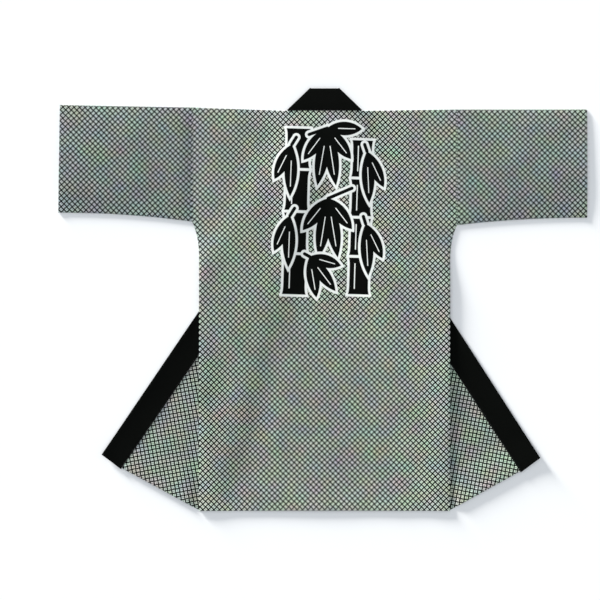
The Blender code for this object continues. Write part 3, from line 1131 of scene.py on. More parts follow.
@dataclass(frozen=True)
class CheckCotton:
    """The printed cotton: a fine white and black basket check, with or without the bamboo."""

    name: str
    bamboo: bool = False
    reverse: bool = False
    pitch: float = 0.0086
    blur: float = 0.07
    white: tuple[float, float, float] = (0.562, 0.626, 0.546)
    black: tuple[float, float, float] = (0.0020, 0.0026, 0.0021)
    bamboo_white: tuple[float, float, float] = (0.740, 0.760, 0.735)
    cast: float = 0.52
    cast_scale: float = 26.0
    reverse_white: tuple[float, float, float] = (0.420, 0.460, 0.425)
    reverse_black: tuple[float, float, float] = (0.110, 0.125, 0.118)
    thread: float = 0.00042
    weave_height: float = 0.00010
    roughness: float = 0.82
    rough_swing: float = 0.08
    gloss: float = 0.03
    mottle: float = 0.08

    def make(self, groups: "Groups") -> Material:
        """Builds the material.

        Args:
            groups: The shared node groups.

        Returns:
            The material, which reads the flat cut's UV map.
        """
        made, graph, surface = new_material(self.name)
        cut = cut_coordinates(graph)
        colour = self.tinted_check(graph, groups, cut)
        if self.bamboo:
            colour = self.stamped(graph, groups, cut, colour)
        weave = graph.place(groups.weave, Cut=cut, Thread=self.thread)
        mottle = graph.place(groups.mottle, Place=object_coordinates(graph), Amount=self.mottle)
        # the weave's tone holds painted shade between the threads; the mottle is random unevenness
        tone = graph.math("MULTIPLY", weave.outputs["Tone"], mottle.outputs["Tone"])
        graph.feed(surface.inputs["Base Color"], graph.scale(colour, tone))
        rough = graph.math("MULTIPLY", weave.outputs["Height"], self.rough_swing)
        graph.feed(surface.inputs["Roughness"], graph.math("ADD", self.roughness, rough))
        surface.inputs["Specular IOR Level"].default_value = self.gloss
        add_bump(graph, surface, weave.outputs["Height"], self.weave_height)
        return made

    def tinted_check(self, graph: Graph, groups: "Groups", cut: Socket) -> Socket:
        """The check with its soft patches of colour.

        Args:
            graph: The material's tree.
            groups: The shared node groups.
            cut: The place on the flat cut.

        Returns:
            The colour.
        """
        bars = graph.place(groups.check, Cut=cut, Pitch=self.pitch, Blur=self.blur).outputs[0]
        white = self.reverse_white if self.reverse else self.white
        black = self.reverse_black if self.reverse else self.black
        colour = graph.colours(bars, (*black, 1.0), (*white, 1.0))
        cast = graph.noise(object_coordinates(graph), self.cast_scale, 1.0, coloured=True)
        cast = graph.scale(graph.vector("SUBTRACT", cast, (0.5, 0.5, 0.5)), self.cast)
        return graph.vector("MULTIPLY", colour, graph.vector("ADD", cast, (1.0, 1.0, 1.0)))

    def stamped(self, graph: Graph, groups: "Groups", cut: Socket, colour: Socket) -> Socket:
        """The print's colour with the bamboo stamped over it.

        Args:
            graph: The material's tree.
            groups: The shared node groups.
            cut: The place on the flat cut.
            colour: The colour beneath.

        Returns:
            The colour.
        """
        white: object = 0.0
        cover: object = 0.0
        canes = [cane for stalk in STALKS for cane in stalk.stamps()]
        for cluster in (canes, *(spray.stamps() for spray in SPRAYS)):
            distance: object = 1.0
            line: object = 0.0
            for stamp in cluster:
                placed = graph.place(
                    groups.stamps[stamp.shape],
                    Cut=cut,
                    Middle=stamp.middle,
                    Turn=stamp.turn,
                    Half_Length=stamp.half_length,
                    Half_Width=stamp.half_width,
                    Distance=distance,
                    Line=line,
                ).outputs
                distance, line = placed["Distance"], placed["Line"]
            laid = graph.place(groups.layer, Distance=distance, Line=line, White=white, Cover=cover).outputs
            white, cover = laid["White"], laid["Cover"]
        paint = graph.colours(white, (*self.black, 1.0), (*self.bamboo_white, 1.0))
        return graph.colours(cover, colour, paint)


@dataclass(frozen=True)
class BlackCotton:
    """The collar's plain black cotton, with a painted highlight on the crowns of its threads that shows in
    random patches.
    """

    name: str = "black_cotton"
    colour: tuple[float, float, float] = (0.0012, 0.0016, 0.0012)
    # painted highlight: the colour that the threads' crowns are lightened towards
    crown_highlight: tuple[float, float, float] = (0.0034, 0.0040, 0.0034)
    thread: float = 0.00048
    weave_height: float = 0.00014
    roughness: float = 0.84
    rough_swing: float = 0.10
    gloss: float = 0.03
    # how unevenly, in random patches, the painted highlight on the threads shows
    mottle: float = 2.4
    crown_highlight_share: float = 0.5

    def make(self, groups: "Groups") -> Material:
        """Builds the material.

        Args:
            groups: The shared node groups.

        Returns:
            The material, which reads the flat cut's UV map.
        """
        made, graph, surface = new_material(self.name)
        weave = graph.place(groups.weave, Cut=cut_coordinates(graph), Thread=self.thread)
        mottle = graph.place(groups.mottle, Place=object_coordinates(graph), Amount=self.mottle)
        # painted highlight: lighter where the weave's threads stand highest, more so in random patches
        share = graph.math("MULTIPLY", weave.outputs["Height"], mottle.outputs["Tone"])
        share = graph.math("MULTIPLY", share, self.crown_highlight_share, clamp=True)
        graph.feed(surface.inputs["Base Color"], graph.colours(share, (*self.colour, 1.0), (*self.crown_highlight, 1.0)))
        smooth = graph.math("MULTIPLY", weave.outputs["Height"], self.rough_swing)
        graph.feed(surface.inputs["Roughness"], graph.math("SUBTRACT", self.roughness, smooth))
        surface.inputs["Specular IOR Level"].default_value = self.gloss
        add_bump(graph, surface, weave.outputs["Height"], self.weave_height)
        return made


@dataclass(frozen=True)
class SewingThread:
    """A spun thread: fine twisted strands, with a random tone that is darker, as painted shade, where the
    twist's bumps sink.
    """

    name: str
    colour: tuple[float, float, float]
    twists: float = 2600.0
    twist_height: float = 0.00005
    tone_least: float = 0.7
    tone_swing: float = 0.6
    roughness: float = 0.5
    rough_swing: float = 0.3

    def make(self) -> Material:
        """Builds the material, which needs none of the shared groups."""
        made, graph, surface = new_material(self.name)
        twist = graph.noise(graph.vector("MULTIPLY", object_coordinates(graph), (self.twists,) * 3), 1.0, 1.0)
        # painted shade: the tone follows the same noise as the bump, darker where it sinks; otherwise it
        # varies at random
        tone = graph.math("ADD", self.tone_least, graph.math("MULTIPLY", twist, self.tone_swing))
        graph.feed(surface.inputs["Base Color"], graph.scale(self.colour, tone))
        rough = graph.math("ADD", self.roughness, graph.math("MULTIPLY", twist, self.rough_swing))
        graph.feed(surface.inputs["Roughness"], rough)
        add_bump(graph, surface, twist, self.twist_height)
        return made


@dataclass(frozen=True)
class StudioFloor:
    """The pale matt board that the coat lies on."""

    name: str = "pale_board"
    colour: tuple[float, float, float] = (0.93, 0.935, 0.94)
    mottle: float = 0.01
    roughness: float = 0.9
    gloss: float = 0.1

    def make(self, groups: "Groups") -> Material:
        """Builds the material.

        Args:
            groups: The shared node groups.

        Returns:
            The material.
        """
        made, graph, surface = new_material(self.name)
        mottle = graph.place(groups.mottle, Place=object_coordinates(graph), Amount=self.mottle)
        graph.feed(surface.inputs["Base Color"], graph.scale(self.colour, mottle.outputs["Tone"]))
        surface.inputs["Roughness"].default_value = self.roughness
        surface.inputs["Specular IOR Level"].default_value = self.gloss
        return made


class Groups:
    """The node groups that the materials share."""

    def __init__(self) -> None:
        """Builds each group once."""
        self.check = basket_check_group(Bar())
        self.weave = weave_group(Slubs())
        self.mottle = mottle_group()
        self.stamps = {shape: stamp_group(shape) for shape in Shape}
        self.layer = layer_group()


def new_piece(name: str, mesh: bmesh.types.BMesh, *materials: Material) -> bpy.types.Object:
    """Makes a bmesh into an object of the scene.

    Args:
        name: The object's name.
        mesh: Its mesh, which is freed.
        materials: Its materials, in order.

    Returns:
        The object.
    """
    data = bpy.data.meshes.new(name)
    mesh.to_mesh(data)
    mesh.free()
    for material in materials:
        data.materials.append(material)
    made = bpy.data.objects.new(name, data)
    bpy.context.scene.collection.objects.link(made)
    return made


def new_material(name: str) -> tuple[Material, Graph, bpy.types.Node]:
    """A new material.

    Args:
        name: Its name.

    Returns:
        The material, its node tree as a Graph, and its Principled shader.
    """
    made = bpy.data.materials.new(name)
    made.use_nodes = True
    return made, Graph(made.node_tree), made.node_tree.nodes["Principled BSDF"]


def cut_coordinates(graph: Graph) -> Socket:
    """The flat cut's UV map, in metres."""
    return graph.node("ShaderNodeUVMap", uv_map=ClothPiece.uv_name).outputs[0]


def object_coordinates(graph: Graph) -> Socket:
    """The piece's own coordinates, in metres."""
    return graph.node("ShaderNodeTexCoord").outputs["Object"]


def add_bump(graph: Graph, surface: bpy.types.Node, height: Socket, distance: float) -> None:
    """Feeds a height to the shader's normal.

    Args:
        graph: The material's tree.
        surface: Its shader.
        height: The height, from 0 to about 1.
        distance: How high 1 is, in metres.
    """
    bump = graph.node("ShaderNodeBump")
    graph.feed(bump.inputs["Strength"], BUMP_STRENGTH)
    graph.feed(bump.inputs["Distance"], distance)
    graph.feed(bump.inputs["Height"], height)
    graph.feed(surface.inputs["Normal"], bump.outputs[0])


class Wardrobe:
    """Every material of the coat."""

    def __init__(self, groups: Groups) -> None:
        """Builds each material once.

        Args:
            groups: The shared node groups.
        """
        self.back = CheckCotton("printed_cotton_back", bamboo=True).make(groups)
        self.print = CheckCotton("printed_cotton", white=(0.504, 0.566, 0.492)).make(groups)
        self.sleeve = CheckCotton("printed_cotton_sleeve", white=(0.471, 0.530, 0.492)).make(groups)
        self.reverse = CheckCotton("cotton_reverse", reverse=True).make(groups)
        self.collar = BlackCotton().make(groups)
        self.black_thread = SewingThread("black_thread", (0.012, 0.012, 0.012)).make()
        self.grey_thread = SewingThread("grey_thread", (0.20, 0.21, 0.20)).make()


# Sheets of cloth


@dataclass
class ClothPiece:
    """One drawn sheet: its grids joined, given a thickness, and dressed."""

    name: str
    node: str
    slot: str
    thickness: float
    outer: Material
    inner: Material
    edge_round: float = 0.00020
    edge_deg: float = 60.0
    sharp_deg: float = 48.0
    merge: float = 0.00002
    flat_area: float = 0.0
    uv_name: ClassVar[str] = "flat_cut"

    def make(self, grids: list[list[list[Spot]]], up_near: Vector) -> bpy.types.Object:
        """Builds the sheet.

        Args:
            grids: Grids of spots that share their edges.
            up_near: A point beside a face whose printed side looks up.

        Returns:
            The finished piece.
        """
        mesh = bmesh.new()
        cuts = mesh.loops.layers.uv.new(self.uv_name)
        for rows in grids:
            self.add_grid(mesh, cuts, rows)
        bmesh.ops.remove_doubles(mesh, verts=mesh.verts, dist=self.merge)
        bmesh.ops.recalc_face_normals(mesh, faces=mesh.faces)
        self.face_up(mesh, up_near)
        self.flat_area = sum(self.cut_area(face, cuts) for face in mesh.faces)
        for face in mesh.faces:
            face.smooth = True
        made = new_piece(self.name, mesh, self.outer, self.inner)
        self.add_wall(made)
        apply_modifiers(made)
        made.data.set_sharp_from_angle(angle=math.radians(self.sharp_deg))
        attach(made, "root")
        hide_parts(self.node)
        faces = len(made.data.polygons)
        LOG.info("%s: %d faces, %.3f square metres of cut", self.name, faces, self.flat_area)
        return made

    def add_grid(self, mesh: bmesh.types.BMesh, cuts: object, rows: list[list[Spot]]) -> None:
        """Adds a grid of faces through rows of spots.

        Args:
            mesh: The sheet's mesh.
            cuts: Its UV layer.
            rows: The rows of spots.
        """
        tall, wide = len(rows) - 1, len(rows[0]) - 1
        made = bmesh.ops.create_grid(mesh, x_segments=wide, y_segments=tall, size=1)
        for vertex in made["verts"]:
            i = round((vertex.co.x + 1) / 2 * wide)
            j = round((vertex.co.y + 1) / 2 * tall)
            spot = rows[j][i]
            vertex.co = spot.place
            for loop in vertex.link_loops:
                loop[cuts].uv = spot.cut

    def face_up(self, mesh: bmesh.types.BMesh, near: Vector) -> None:
        """Turns the whole sheet over if its printed side looks down beside a point.

        Args:
            mesh: The sheet's mesh.
            near: The point.
        """
        nearest = min(mesh.faces, key=lambda face: (face.calc_center_median() - near).length_squared)
        if nearest.normal.z < 0:
            bmesh.ops.reverse_faces(mesh, faces=mesh.faces)

    def cut_area(self, face: bmesh.types.BMFace, cuts: object) -> float:
        """A face's area on the flat cut."""
        corners = [loop[cuts].uv for loop in face.loops]
        return abs(sum(a.cross(b) for a, b in zip(corners, corners[1:] + corners[:1]))) / 2

    def add_wall(self, piece: bpy.types.Object) -> None:
        """Gives the sheet its thickness, its reverse side and rounded edges.

        Args:
            piece: The sheet.
        """
        wall = piece.modifiers.new("wall", "SOLIDIFY")
        wall.thickness = self.thickness
        wall.offset = 0
        wall.use_even_offset = True
        wall.use_quality_normals = True
        wall.material_offset = 1
        edges = piece.modifiers.new("edges", "BEVEL")
        edges.width = self.edge_round
        edges.segments = 2
        edges.limit_method = "ANGLE"
        edges.angle_limit = math.radians(self.edge_deg)


def apply_modifiers(piece: bpy.types.Object) -> None:
    """Makes a piece's modifiers part of its mesh.

    Args:
        piece: The piece.
    """
    graph = bpy.context.evaluated_depsgraph_get()
    made = bpy.data.meshes.new_from_object(piece.evaluated_get(graph), depsgraph=graph)
    old = piece.data
    piece.modifiers.clear()
    piece.data = made
    bpy.data.meshes.remove(old)
    made.name = piece.name


@dataclass
class StitchRow:
    """A row of machine stitches: small beads of thread along a line on the cloth."""

    name: str
    slot: str
    thread: Material
    pitch: float = 0.0032
    length: float = 0.0024
    width: float = 0.00050
    height: float = 0.00030

    def make(self, lines: list[list[Vector]]) -> bpy.types.Object:
        """Builds the stitches along lines of points on the cloth's surface.

        Args:
            lines: Each line's points, in order.

        Returns:
            The finished piece, with every line's stitches joined.
        """
        mesh = bmesh.new()
        for line in lines:
            self.sew(mesh, line)
        for face in mesh.faces:
            face.smooth = True
        made = new_piece(self.name, mesh, self.thread)
        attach(made, "root")
        LOG.info("%s: %d faces", self.name, len(made.data.polygons))
        return made

    def sew(self, mesh: bmesh.types.BMesh, line: list[Vector]) -> None:
        """Sews one line.

        Args:
            mesh: The mesh that the stitches join.
            line: The line's points, in order.
        """
        points = np.array([tuple(point) for point in line])
        runs = np.concatenate([[0.0], np.cumsum(np.linalg.norm(np.diff(points, axis=0), axis=1))])
        size = Matrix.Diagonal((self.length / 2, self.width / 2, self.height / 2, 1.0))
        for k in range(int(runs[-1] / self.pitch) - 1):
            middle = self.pitch * (k + 1)
            start, end = (
                Vector([np.interp(at, runs, points[:, axis]) for axis in range(3)])
                for at in (middle - self.length / 2, middle + self.length / 2)
            )
            turn = (end - start).normalized().to_track_quat("X", "Z").to_matrix().to_4x4()
            place = Matrix.Translation((start + end) / 2)
            bmesh.ops.create_icosphere(mesh, subdivisions=1, radius=1.0, matrix=place @ turn @ size)


# The panels


@dataclass
class Back:
    """The back panel, with the half round over each shoulder down to the front's level."""

    plans: list[FrontPlan]
    side_columns: int = 44
    side_spread: float = 1.35
    neck_columns: int = 16
    knots: int = 48
    band_knots: int = 12
    middle_knots: int = 40
    seam_close: float = 0.00012
    seam_pinch: float = 0.00025
    pinch_reach: float = 0.0016
    relief_from_side: float = 0.022
    relief_from_shoulder: float = 0.030
    turned_length: float = 0.014
    relief: Relief = Relief(BACK_CREASES, 3.7, wave=0.00040, strength=0.70)

    def profile(self, plan: FrontPlan, share: float) -> tuple[list[float], list[float], list[float]]:
        """How one half of a row lies, from the centre line out to the side edge.

        Args:
            plan: The half's plan.
            share: The row's share.

        Returns:
            The knots' distances from the centre line, heights up the coat and heights off the floor.
        """
        walls, drape = plan.walls, plan.drape
        edge, end = plan.side_edge(share), plan.inner_end(share)
        fade = plan.side_fade(share)
        above_band = 1.0
        if share > plan.crease_foot:
            above_band = slope_down((share - plan.crease_foot) / drape.beneath_fade)
        found = []
        for k in range(self.knots + 1):
            part = (k / self.knots) ** self.side_spread
            point = edge.lerp(end, part)
            ramp = 1 - slope_down((part - drape.beneath_from) / (1 - drape.beneath_from))
            beneath = blend(walls.cloth, walls.collar, ramp * above_band)
            puff = (edge.x - point.x) / drape.side_puff_peak
            puff = drape.side_puff * puff * math.exp(1 - puff) * fade
            lift = plan.lift(share, point)
            if share < drape.neck_level_share:
                lift = blend(lift, plan.band_lift(share, point), ramp)
            found.append((point, lift + beneath + walls.gap + puff))
        if share < plan.crease_foot:
            last = plan.band_end(share, end)
            for k in range(1, self.band_knots + 1):
                point = end.lerp(last, k / self.band_knots)
                found.append((point, plan.band_lift(share, point) + walls.collar + walls.gap))
        ledge, edge_lift = found[-1][0] - Vector((drape.ledge, 0)), found[-1][1]
        found.append((ledge, edge_lift))
        hem = drape.hem_lift * slope_down((ledge.y - plan.body.hem_y) / drape.hem_lift_reach)
        level_top = slope_down(share / drape.neck_level_share)
        for k in range(1, self.middle_knots + 1):
            point = ledge.lerp(Vector((0.0, ledge.y)), k / self.middle_knots)
            gone = slope_down((ledge.x - math.hypot(point.x, drape.centre_soften)) / drape.settle_reach)
            found.append((point, blend(blend(hem, edge_lift, gone), edge_lift, level_top)))
        found.reverse()
        return [p.x for p, _ in found], [p.y for p, _ in found], [z for _, z in found]

    def columns(self, plan: FrontPlan, share: float) -> list[float]:
        """A row's distances from the centre line, from the side edge inwards.

        Args:
            plan: The half's plan.
            share: The row's share.

        Returns:
            The distances.
        """
        edge, neck = plan.side_edge(share).x, plan.body.neck_half
        outer = [
            blend(edge, neck, (k / self.side_columns) ** self.side_spread) for k in range(self.side_columns)
        ]
        return outer + [neck * (1 - k / self.neck_columns) for k in range(self.neck_columns + 1)]

    def row(self, plan: FrontPlan, share: float, middle_y: float | None = None) -> list[Spot]:
        """One half of a row, from the side edge to the centre line.

        Args:
            plan: The half's plan.
            share: The row's share.
            middle_y: Where both halves of the row meet, where that is known.

        Returns:
            The row's spots.
        """
        xs, ys, zs = self.profile(plan, share)
        edge = plan.side_edge(share)
        sewn = share > plan.crease_foot
        made = []
        for x in self.columns(plan, share):
            y = float(np.interp(x, xs, ys))
            z = float(np.interp(x, xs, zs))
            if middle_y is not None and x < plan.body.neck_half:
                y = blend(middle_y, y, x / plan.body.neck_half)
            place = plan.place(Vector((x, y)), z + plan.walls.middle(plan.walls.cloth))
            inside = edge.x - x
            hold = 1 - slope_down(inside / self.relief_from_side)
            hold *= 1 - slope_down((plan.body.neck_y - y) / self.relief_from_shoulder)
            place.z += self.relief.rise(place.x, place.y) * hold
            place.z += plan.hem.rise(plan.hem_distance(share))
            if sewn:
                place.z -= self.seam_pinch * slope_down(inside / self.pinch_reach)
            if x == edge.x and not sewn:
                place.x += plan.sizes.sign * self.seam_close
            made.append(Spot(place, plan.cut_at(Vector((x, y)))))
        return made

    def middle_y(self, j: int) -> float:
        """Where both halves of a row meet."""
        return sum(plan.inner_end(plan.rows[j]).y for plan in self.plans) / 2

    def grids(self) -> list[list[list[Spot]]]:
        """Both halves and both shoulder wraps.

        Returns:
            Grids of spots that share their edges.
        """
        made = []
        for plan in self.plans:
            rows = [self.row(plan, share, self.middle_y(j)) for j, share in enumerate(plan.rows)]
            drop = (plan.walls.cloth + plan.walls.gap) / 2
            wrap = []
            for k, spot in enumerate(rows[0]):
                if k <= self.side_columns:
                    high = spot.place.z
                    x = plan.sizes.sign * (spot.place.x - plan.body.centre_x)
                    plan_point = Vector((x, spot.place.y - drop))
                    cut = Vector((plan.sizes.sign * spot.cut.x, spot.cut.y - drop))
                    bend = plan.bend((plan_point, cut), Vector((0, 1)), high - 2 * drop, high)
                    wrap.append(bend)
                    rows[0][k] = bend[0]
                else:
                    spot.place.y += plan.walls.cloth / 2
            made += [wrap, rows]
        for first, second in zip(made[1], made[3]):
            shared = (first[-1].place + second[-1].place) / 2
            first[-1].place = second[-1].place = shared
        return made

    def stitch_lines(self, thickness: float) -> list[list[Vector]]:
        """The hem's stitch line, from side to side.

        Args:
            thickness: The cloth's drawn thickness.

        Returns:
            One line of points on the cloth.
        """
        halves = []
        for plan in self.plans:
            row = self.row(plan, plan.stitch_share)
            halves.append([spot.place + Vector((0, 0, thickness / 2)) for spot in row[2:]])
        return [halves[0] + halves[1][-2::-1]]

    def make(self, wardrobe: Wardrobe) -> bpy.types.Object:
        """Builds the back and its hem's stitches.

        Args:
            wardrobe: The coat's materials.

        Returns:
            The back.
        """
        walls, body = self.plans[0].walls, self.plans[0].body
        thickness = walls.drawn(walls.cloth)
        piece = ClothPiece("back_panel", "back", "check_cotton", thickness, wardrobe.back, wardrobe.reverse)
        made = piece.make(self.grids(), up_near=Vector((0.0, 0.0, walls.cloth)))
        stitches = StitchRow("back_hem_stitches", "check_cotton", wardrobe.grey_thread)
        sewn = stitches.make(self.stitch_lines(thickness))
        return made


@dataclass
class Front:
    """One front: the part under the back, the bend along its crease, and the flap turned outwards."""

    plan: FrontPlan
    standing_columns: int = 22
    standing_spread: float = 1.3
    flap_columns: int = 26
    seam_pinch: float = 0.00025
    pinch_reach: float = 0.0030
    hem_least: float = 0.5
    stitch_knots: int = 40
    stitch_clear: float = 0.004
    relief: Relief = Relief(FLAP_CREASES, 8.1, mean=0.00030, wave=0.00040)

    def flap_rise(self, place: Vector, share: float) -> float:
        """How far the flap stands up, which it does only clear of the body.

        Args:
            place: A point of the coat.
            share: The row's share.

        Returns:
            The height in metres.
        """
        plan = self.plan
        point = Vector((plan.sizes.sign * (place.x - plan.body.centre_x), place.y))
        free = plan.flap_free(point)
        hem = plan.hem.rise(plan.hem_distance(share)) * max(free, self.hem_least)
        return self.relief.rise(place.x, place.y) * free + hem + plan.flap_spring(share, point, 0.0)

    def grids(self) -> list[list[list[Spot]]]:
        """The standing part, the bend and the flap.

        Returns:
            Grids of spots that share their edges.
        """
        plan, fold, walls = self.plan, self.plan.fold, self.plan.walls
        standing, bend, flap = [], [], []
        tuck = Vector((0, -(walls.cloth + walls.gap) / 2 - walls.gap))
        low = walls.middle(walls.cloth)
        for j, share in enumerate(plan.rows):
            edge, cut_end = plan.side_edge(share), plan.inner_end(share)
            below = j >= plan.crease_row
            end_lift = plan.band_lift(share, cut_end)
            end = cut_end + fold.inward * end_lift / 2 if below else cut_end
            row = []
            for k in range(self.standing_columns + 1):
                part = (k / self.standing_columns) ** self.standing_spread
                point = edge.lerp(end, part)
                lift = end_lift if k == self.standing_columns else plan.lift(share, point)
                if share > plan.crease_foot:
                    lift += self.seam_pinch * slope_down((edge - point).length / self.pinch_reach)
                shifted = point + tuck if j == 0 else point
                row.append(Spot(plan.place(shifted, lift + low), plan.cut_at(edge.lerp(cut_end, part))))
            standing.append(row)
            if not below:
                continue
            bend.append(plan.bend((end, cut_end), -fold.inward, low, end_lift + low))
            bend[-1][0].cut = row[-1].cut
            cut_seam = cut_end if j == plan.crease_row else plan.seam(share)
            seam = end if j == plan.crease_row else fold.mirror(plan.seam(share))
            line = []
            for k in range(self.flap_columns + 1):
                part = k / self.flap_columns
                place = plan.place(end.lerp(seam, part), low)
                place.z += self.flap_rise(place, share)
                line.append(Spot(place, plan.cut_at(cut_end.lerp(cut_seam, part))))
            bend[-1][-1].place = line[0].place
            flap.append(line)
        return [standing, bend, flap]

    def stitch_lines(self, thickness: float) -> list[list[Vector]]:
        """The flap's hem stitches, outside the body.

        Args:
            thickness: The cloth's drawn thickness.

        Returns:
            One line of points on the cloth.
        """
        plan, share = self.plan, self.plan.stitch_share
        start, end = plan.inner_end(share), plan.fold.mirror(plan.seam(share))
        height = plan.walls.middle(plan.walls.cloth) + thickness / 2
        line = []
        for k in range(self.stitch_knots + 1):
            point = start.lerp(end, k / self.stitch_knots)
            if point.x < plan.body.hem_half + self.stitch_clear:
                continue
            place = plan.place(point, height)
            place.z += self.flap_rise(place, share)
            line.append(place)
        return [line]

    def make(self, wardrobe: Wardrobe) -> bpy.types.Object:
        """Builds the front and its hem's stitches.

        Args:
            wardrobe: The coat's materials.

        Returns:
            The front.
        """
        plan, body = self.plan, self.plan.body
        half = plan.sizes.half.value
        thickness = plan.walls.drawn(plan.walls.cloth)
        name = f"front_{half}_panel"
        piece = ClothPiece(name, f"front_{half}", "check_cotton", thickness, wardrobe.print, wardrobe.reverse)
        flap_middle = Vector((body.hem_half + 0.06, body.hem_y + 0.06))
        made = piece.make(self.grids(), up_near=plan.place(flap_middle, 0.0))
        stitches = StitchRow(f"front_{half}_hem_stitches", "check_cotton", wardrobe.grey_thread)
        sewn = stitches.make(self.stitch_lines(thickness))
        return made


@dataclass
class Sleeve:
    """A sleeve: a flattened tube, folded along its top, open at the cuff."""

    plan: FrontPlan
    loft: float = 0.0022
    loft_at_cuff: float = 0.7
    sag_power: float = 2.1
    rows: int = 52
    columns: int = 44
    seam_close: float = 0.00012
    hold_steep: float = 2.2
    hold_share: float = 0.10
    cut_start: tuple[float, float] = (0.3, 0.43)
    folds_girth: float = 0.004
    slant_length: float = 0.003
    relief: Relief = Relief(SLEEVE_CREASES, 5.3, mean=0.0004, wave=0.0008, wave_length=0.075)

    def loft_at(self, share: float) -> float:
        """How far the upper layer stands off along the sleeve, from the armhole to the open cuff.

        Args:
            share: The row's share, 0 at the armhole and 1 at the cuff.

        Returns:
            The height in metres.
        """
        if share < 0.5:
            return self.loft * math.sin(math.pi * share)
        return self.loft * (1 - (1 - self.loft_at_cuff) * (2 * share - 1))

    def shares(self) -> list[float]:
        """The rows' shares, from the armhole to the cuff, close together at the cuff's stitches.

        Returns:
            Shares from 0 to 1.
        """
        hem = [1 - distance / self.length for distance in self.plan.hem.row_distances]
        return [hem[0] * k / self.rows for k in range(self.rows)] + hem

    def ends(self, share: float) -> tuple[Vector, Vector]:
        """The row's bottom and top edges in plan.

        Args:
            share: The row's share, 0 at the armhole and 1 at the cuff.

        Returns:
            Two points in plan.
        """
        plan, sizes = self.plan, self.plan.sizes
        armhole_x = plan.body.shoulder_half + plan.walls.gap - self.seam_close
        shoulder = Vector((armhole_x, plan.body.neck_y + sizes.shoulder_rise))
        top = shoulder.lerp(Vector(sizes.cuff_top), share)
        bottom = Vector((armhole_x, sizes.underarm_y)).lerp(Vector(sizes.cuff_bottom), share)
        sag = (1 - share) ** self.sag_power
        bottom.y = sizes.cuff_bottom[1] + (sizes.underarm_y - sizes.cuff_bottom[1]) * sag
        return bottom, top

    @property
    def length(self) -> float:
        """How long the sleeve is from the shoulder seam to the cuff."""
        return self.plan.sizes.cuff_top[0] - self.plan.body.shoulder_half

    def cuff_rise(self, share: float) -> float:
        """How far the cuff's hem stands up along the sleeve."""
        return self.plan.hem.rise((1 - share) * self.length)

    def upper_rise(self, place: Vector, share: float, part: float) -> float:
        """How far the upper layer stands above the flat at a point of it.

        Args:
            place: The point of the coat.
            share: The row's share.
            part: How far across the sleeve it is, from 0 at the bottom to 1 at the top.

        Returns:
            The height in metres.
        """
        arch = abs(math.sin(math.pi * part))
        hold = min(1.0, arch * self.hold_steep) * (1 - slope_down(share / self.hold_share))
        return self.loft_at(share) * arch + self.relief.rise(place.x, place.y) * hold + self.cuff_rise(share)

    def cut_at(self, point: Vector, turned: float | None = None) -> Vector:
        """Where a point in plan lies on the sleeve's flat cut.

        Args:
            point: The point in plan.
            turned: How far round the top fold the lower layer starts, or None for the upper layer.

        Returns:
            The place on the flat cut.
        """
        origin = self.ends(0.0)[1]
        along = (self.ends(1.0)[1] - origin).normalized()
        offset = point - origin
        level = offset.dot(Vector((-along.y, along.x)))
        if turned is not None:
            level = turned - level
        start_x, start_y = self.cut_start
        return Vector((self.plan.sizes.sign * (offset.dot(along) + start_x), start_y + level))

    def ring(self, share: float) -> list[Spot]:
        """The spots round the sleeve: the upper layer, the top fold, the lower layer, the bottom fold.

        Args:
            share: The row's share.

        Returns:
            The spots, the last in the first one's place.
        """
        plan, walls = self.plan, self.plan.walls
        low = walls.middle(walls.cloth)
        high = low + walls.cloth + walls.gap
        radius = (high - low) / 2
        bottom, top = self.ends(share)
        across = (top - bottom).normalized()
        near, far = bottom + across * radius, top - across * radius
        cuff = max(0.0, self.cuff_rise(share))
        upper, lower = [], []
        for k in range(self.columns + 1):
            part = k / self.columns
            point = near.lerp(far, part)
            place = plan.place(point, high)
            place.z += self.upper_rise(place, share, part)
            upper.append(Spot(place, self.cut_at(point)))
            lower.append(Spot(plan.place(point, low + cuff), self.cut_at(point, math.pi * radius)))
        top_bend = plan.bend((far, far), across, lower[-1].place.z, upper[-1].place.z)
        bottom_bend = plan.bend((near, near), -across, lower[0].place.z, upper[0].place.z)
        for k, spot in enumerate(top_bend):
            spot.cut = upper[-1].cut.lerp(lower[-1].cut, k / plan.bend_steps)
        for k, spot in enumerate(bottom_bend):
            spot.cut = lower[0].cut + Vector((0, math.pi * radius * (1 - k / plan.bend_steps)))
        closing = Spot(upper[0].place, bottom_bend[0].cut)
        return upper + top_bend[1:-1] + lower[::-1] + bottom_bend[-2:0:-1] + [closing]

    def stitch_lines(self, thickness: float) -> list[list[Vector]]:
        """The cuff's stitches, on the upper layer.

        Args:
            thickness: The cloth's drawn thickness.

        Returns:
            One line of points on the cloth.
        """
        ring = self.ring(1 - self.plan.hem.stitch_line / self.length)
        return [[spot.place + Vector((0, 0, thickness / 2)) for spot in ring[1 : self.columns]]]

    def make(self, wardrobe: Wardrobe) -> bpy.types.Object:
        """Builds the sleeve and its cuff's stitches.

        Args:
            wardrobe: The coat's materials.

        Returns:
            The sleeve.
        """
        plan, walls = self.plan, self.plan.walls
        half, thickness = plan.sizes.half.value, walls.drawn(walls.cloth)
        cloth = (thickness, wardrobe.sleeve, wardrobe.reverse)
        piece = ClothPiece(f"sleeve_{half}_panel", f"sleeve_{half}", "check_cotton", *cloth)
        middle = sum(self.ends(0.5), Vector((0, 0))) / 2
        made = piece.make([[self.ring(share) for share in self.shares()]], up_near=plan.place(middle, 0.02))
        stitches = StitchRow(f"cuff_{half}_stitches", "check_cotton", wardrobe.grey_thread)
        sewn = stitches.make(self.stitch_lines(thickness))
        bottom, top = self.ends(0.0)
        length = self.ends(1.0)[1].x - self.ends(0.0)[1].x + self.slant_length
        return made


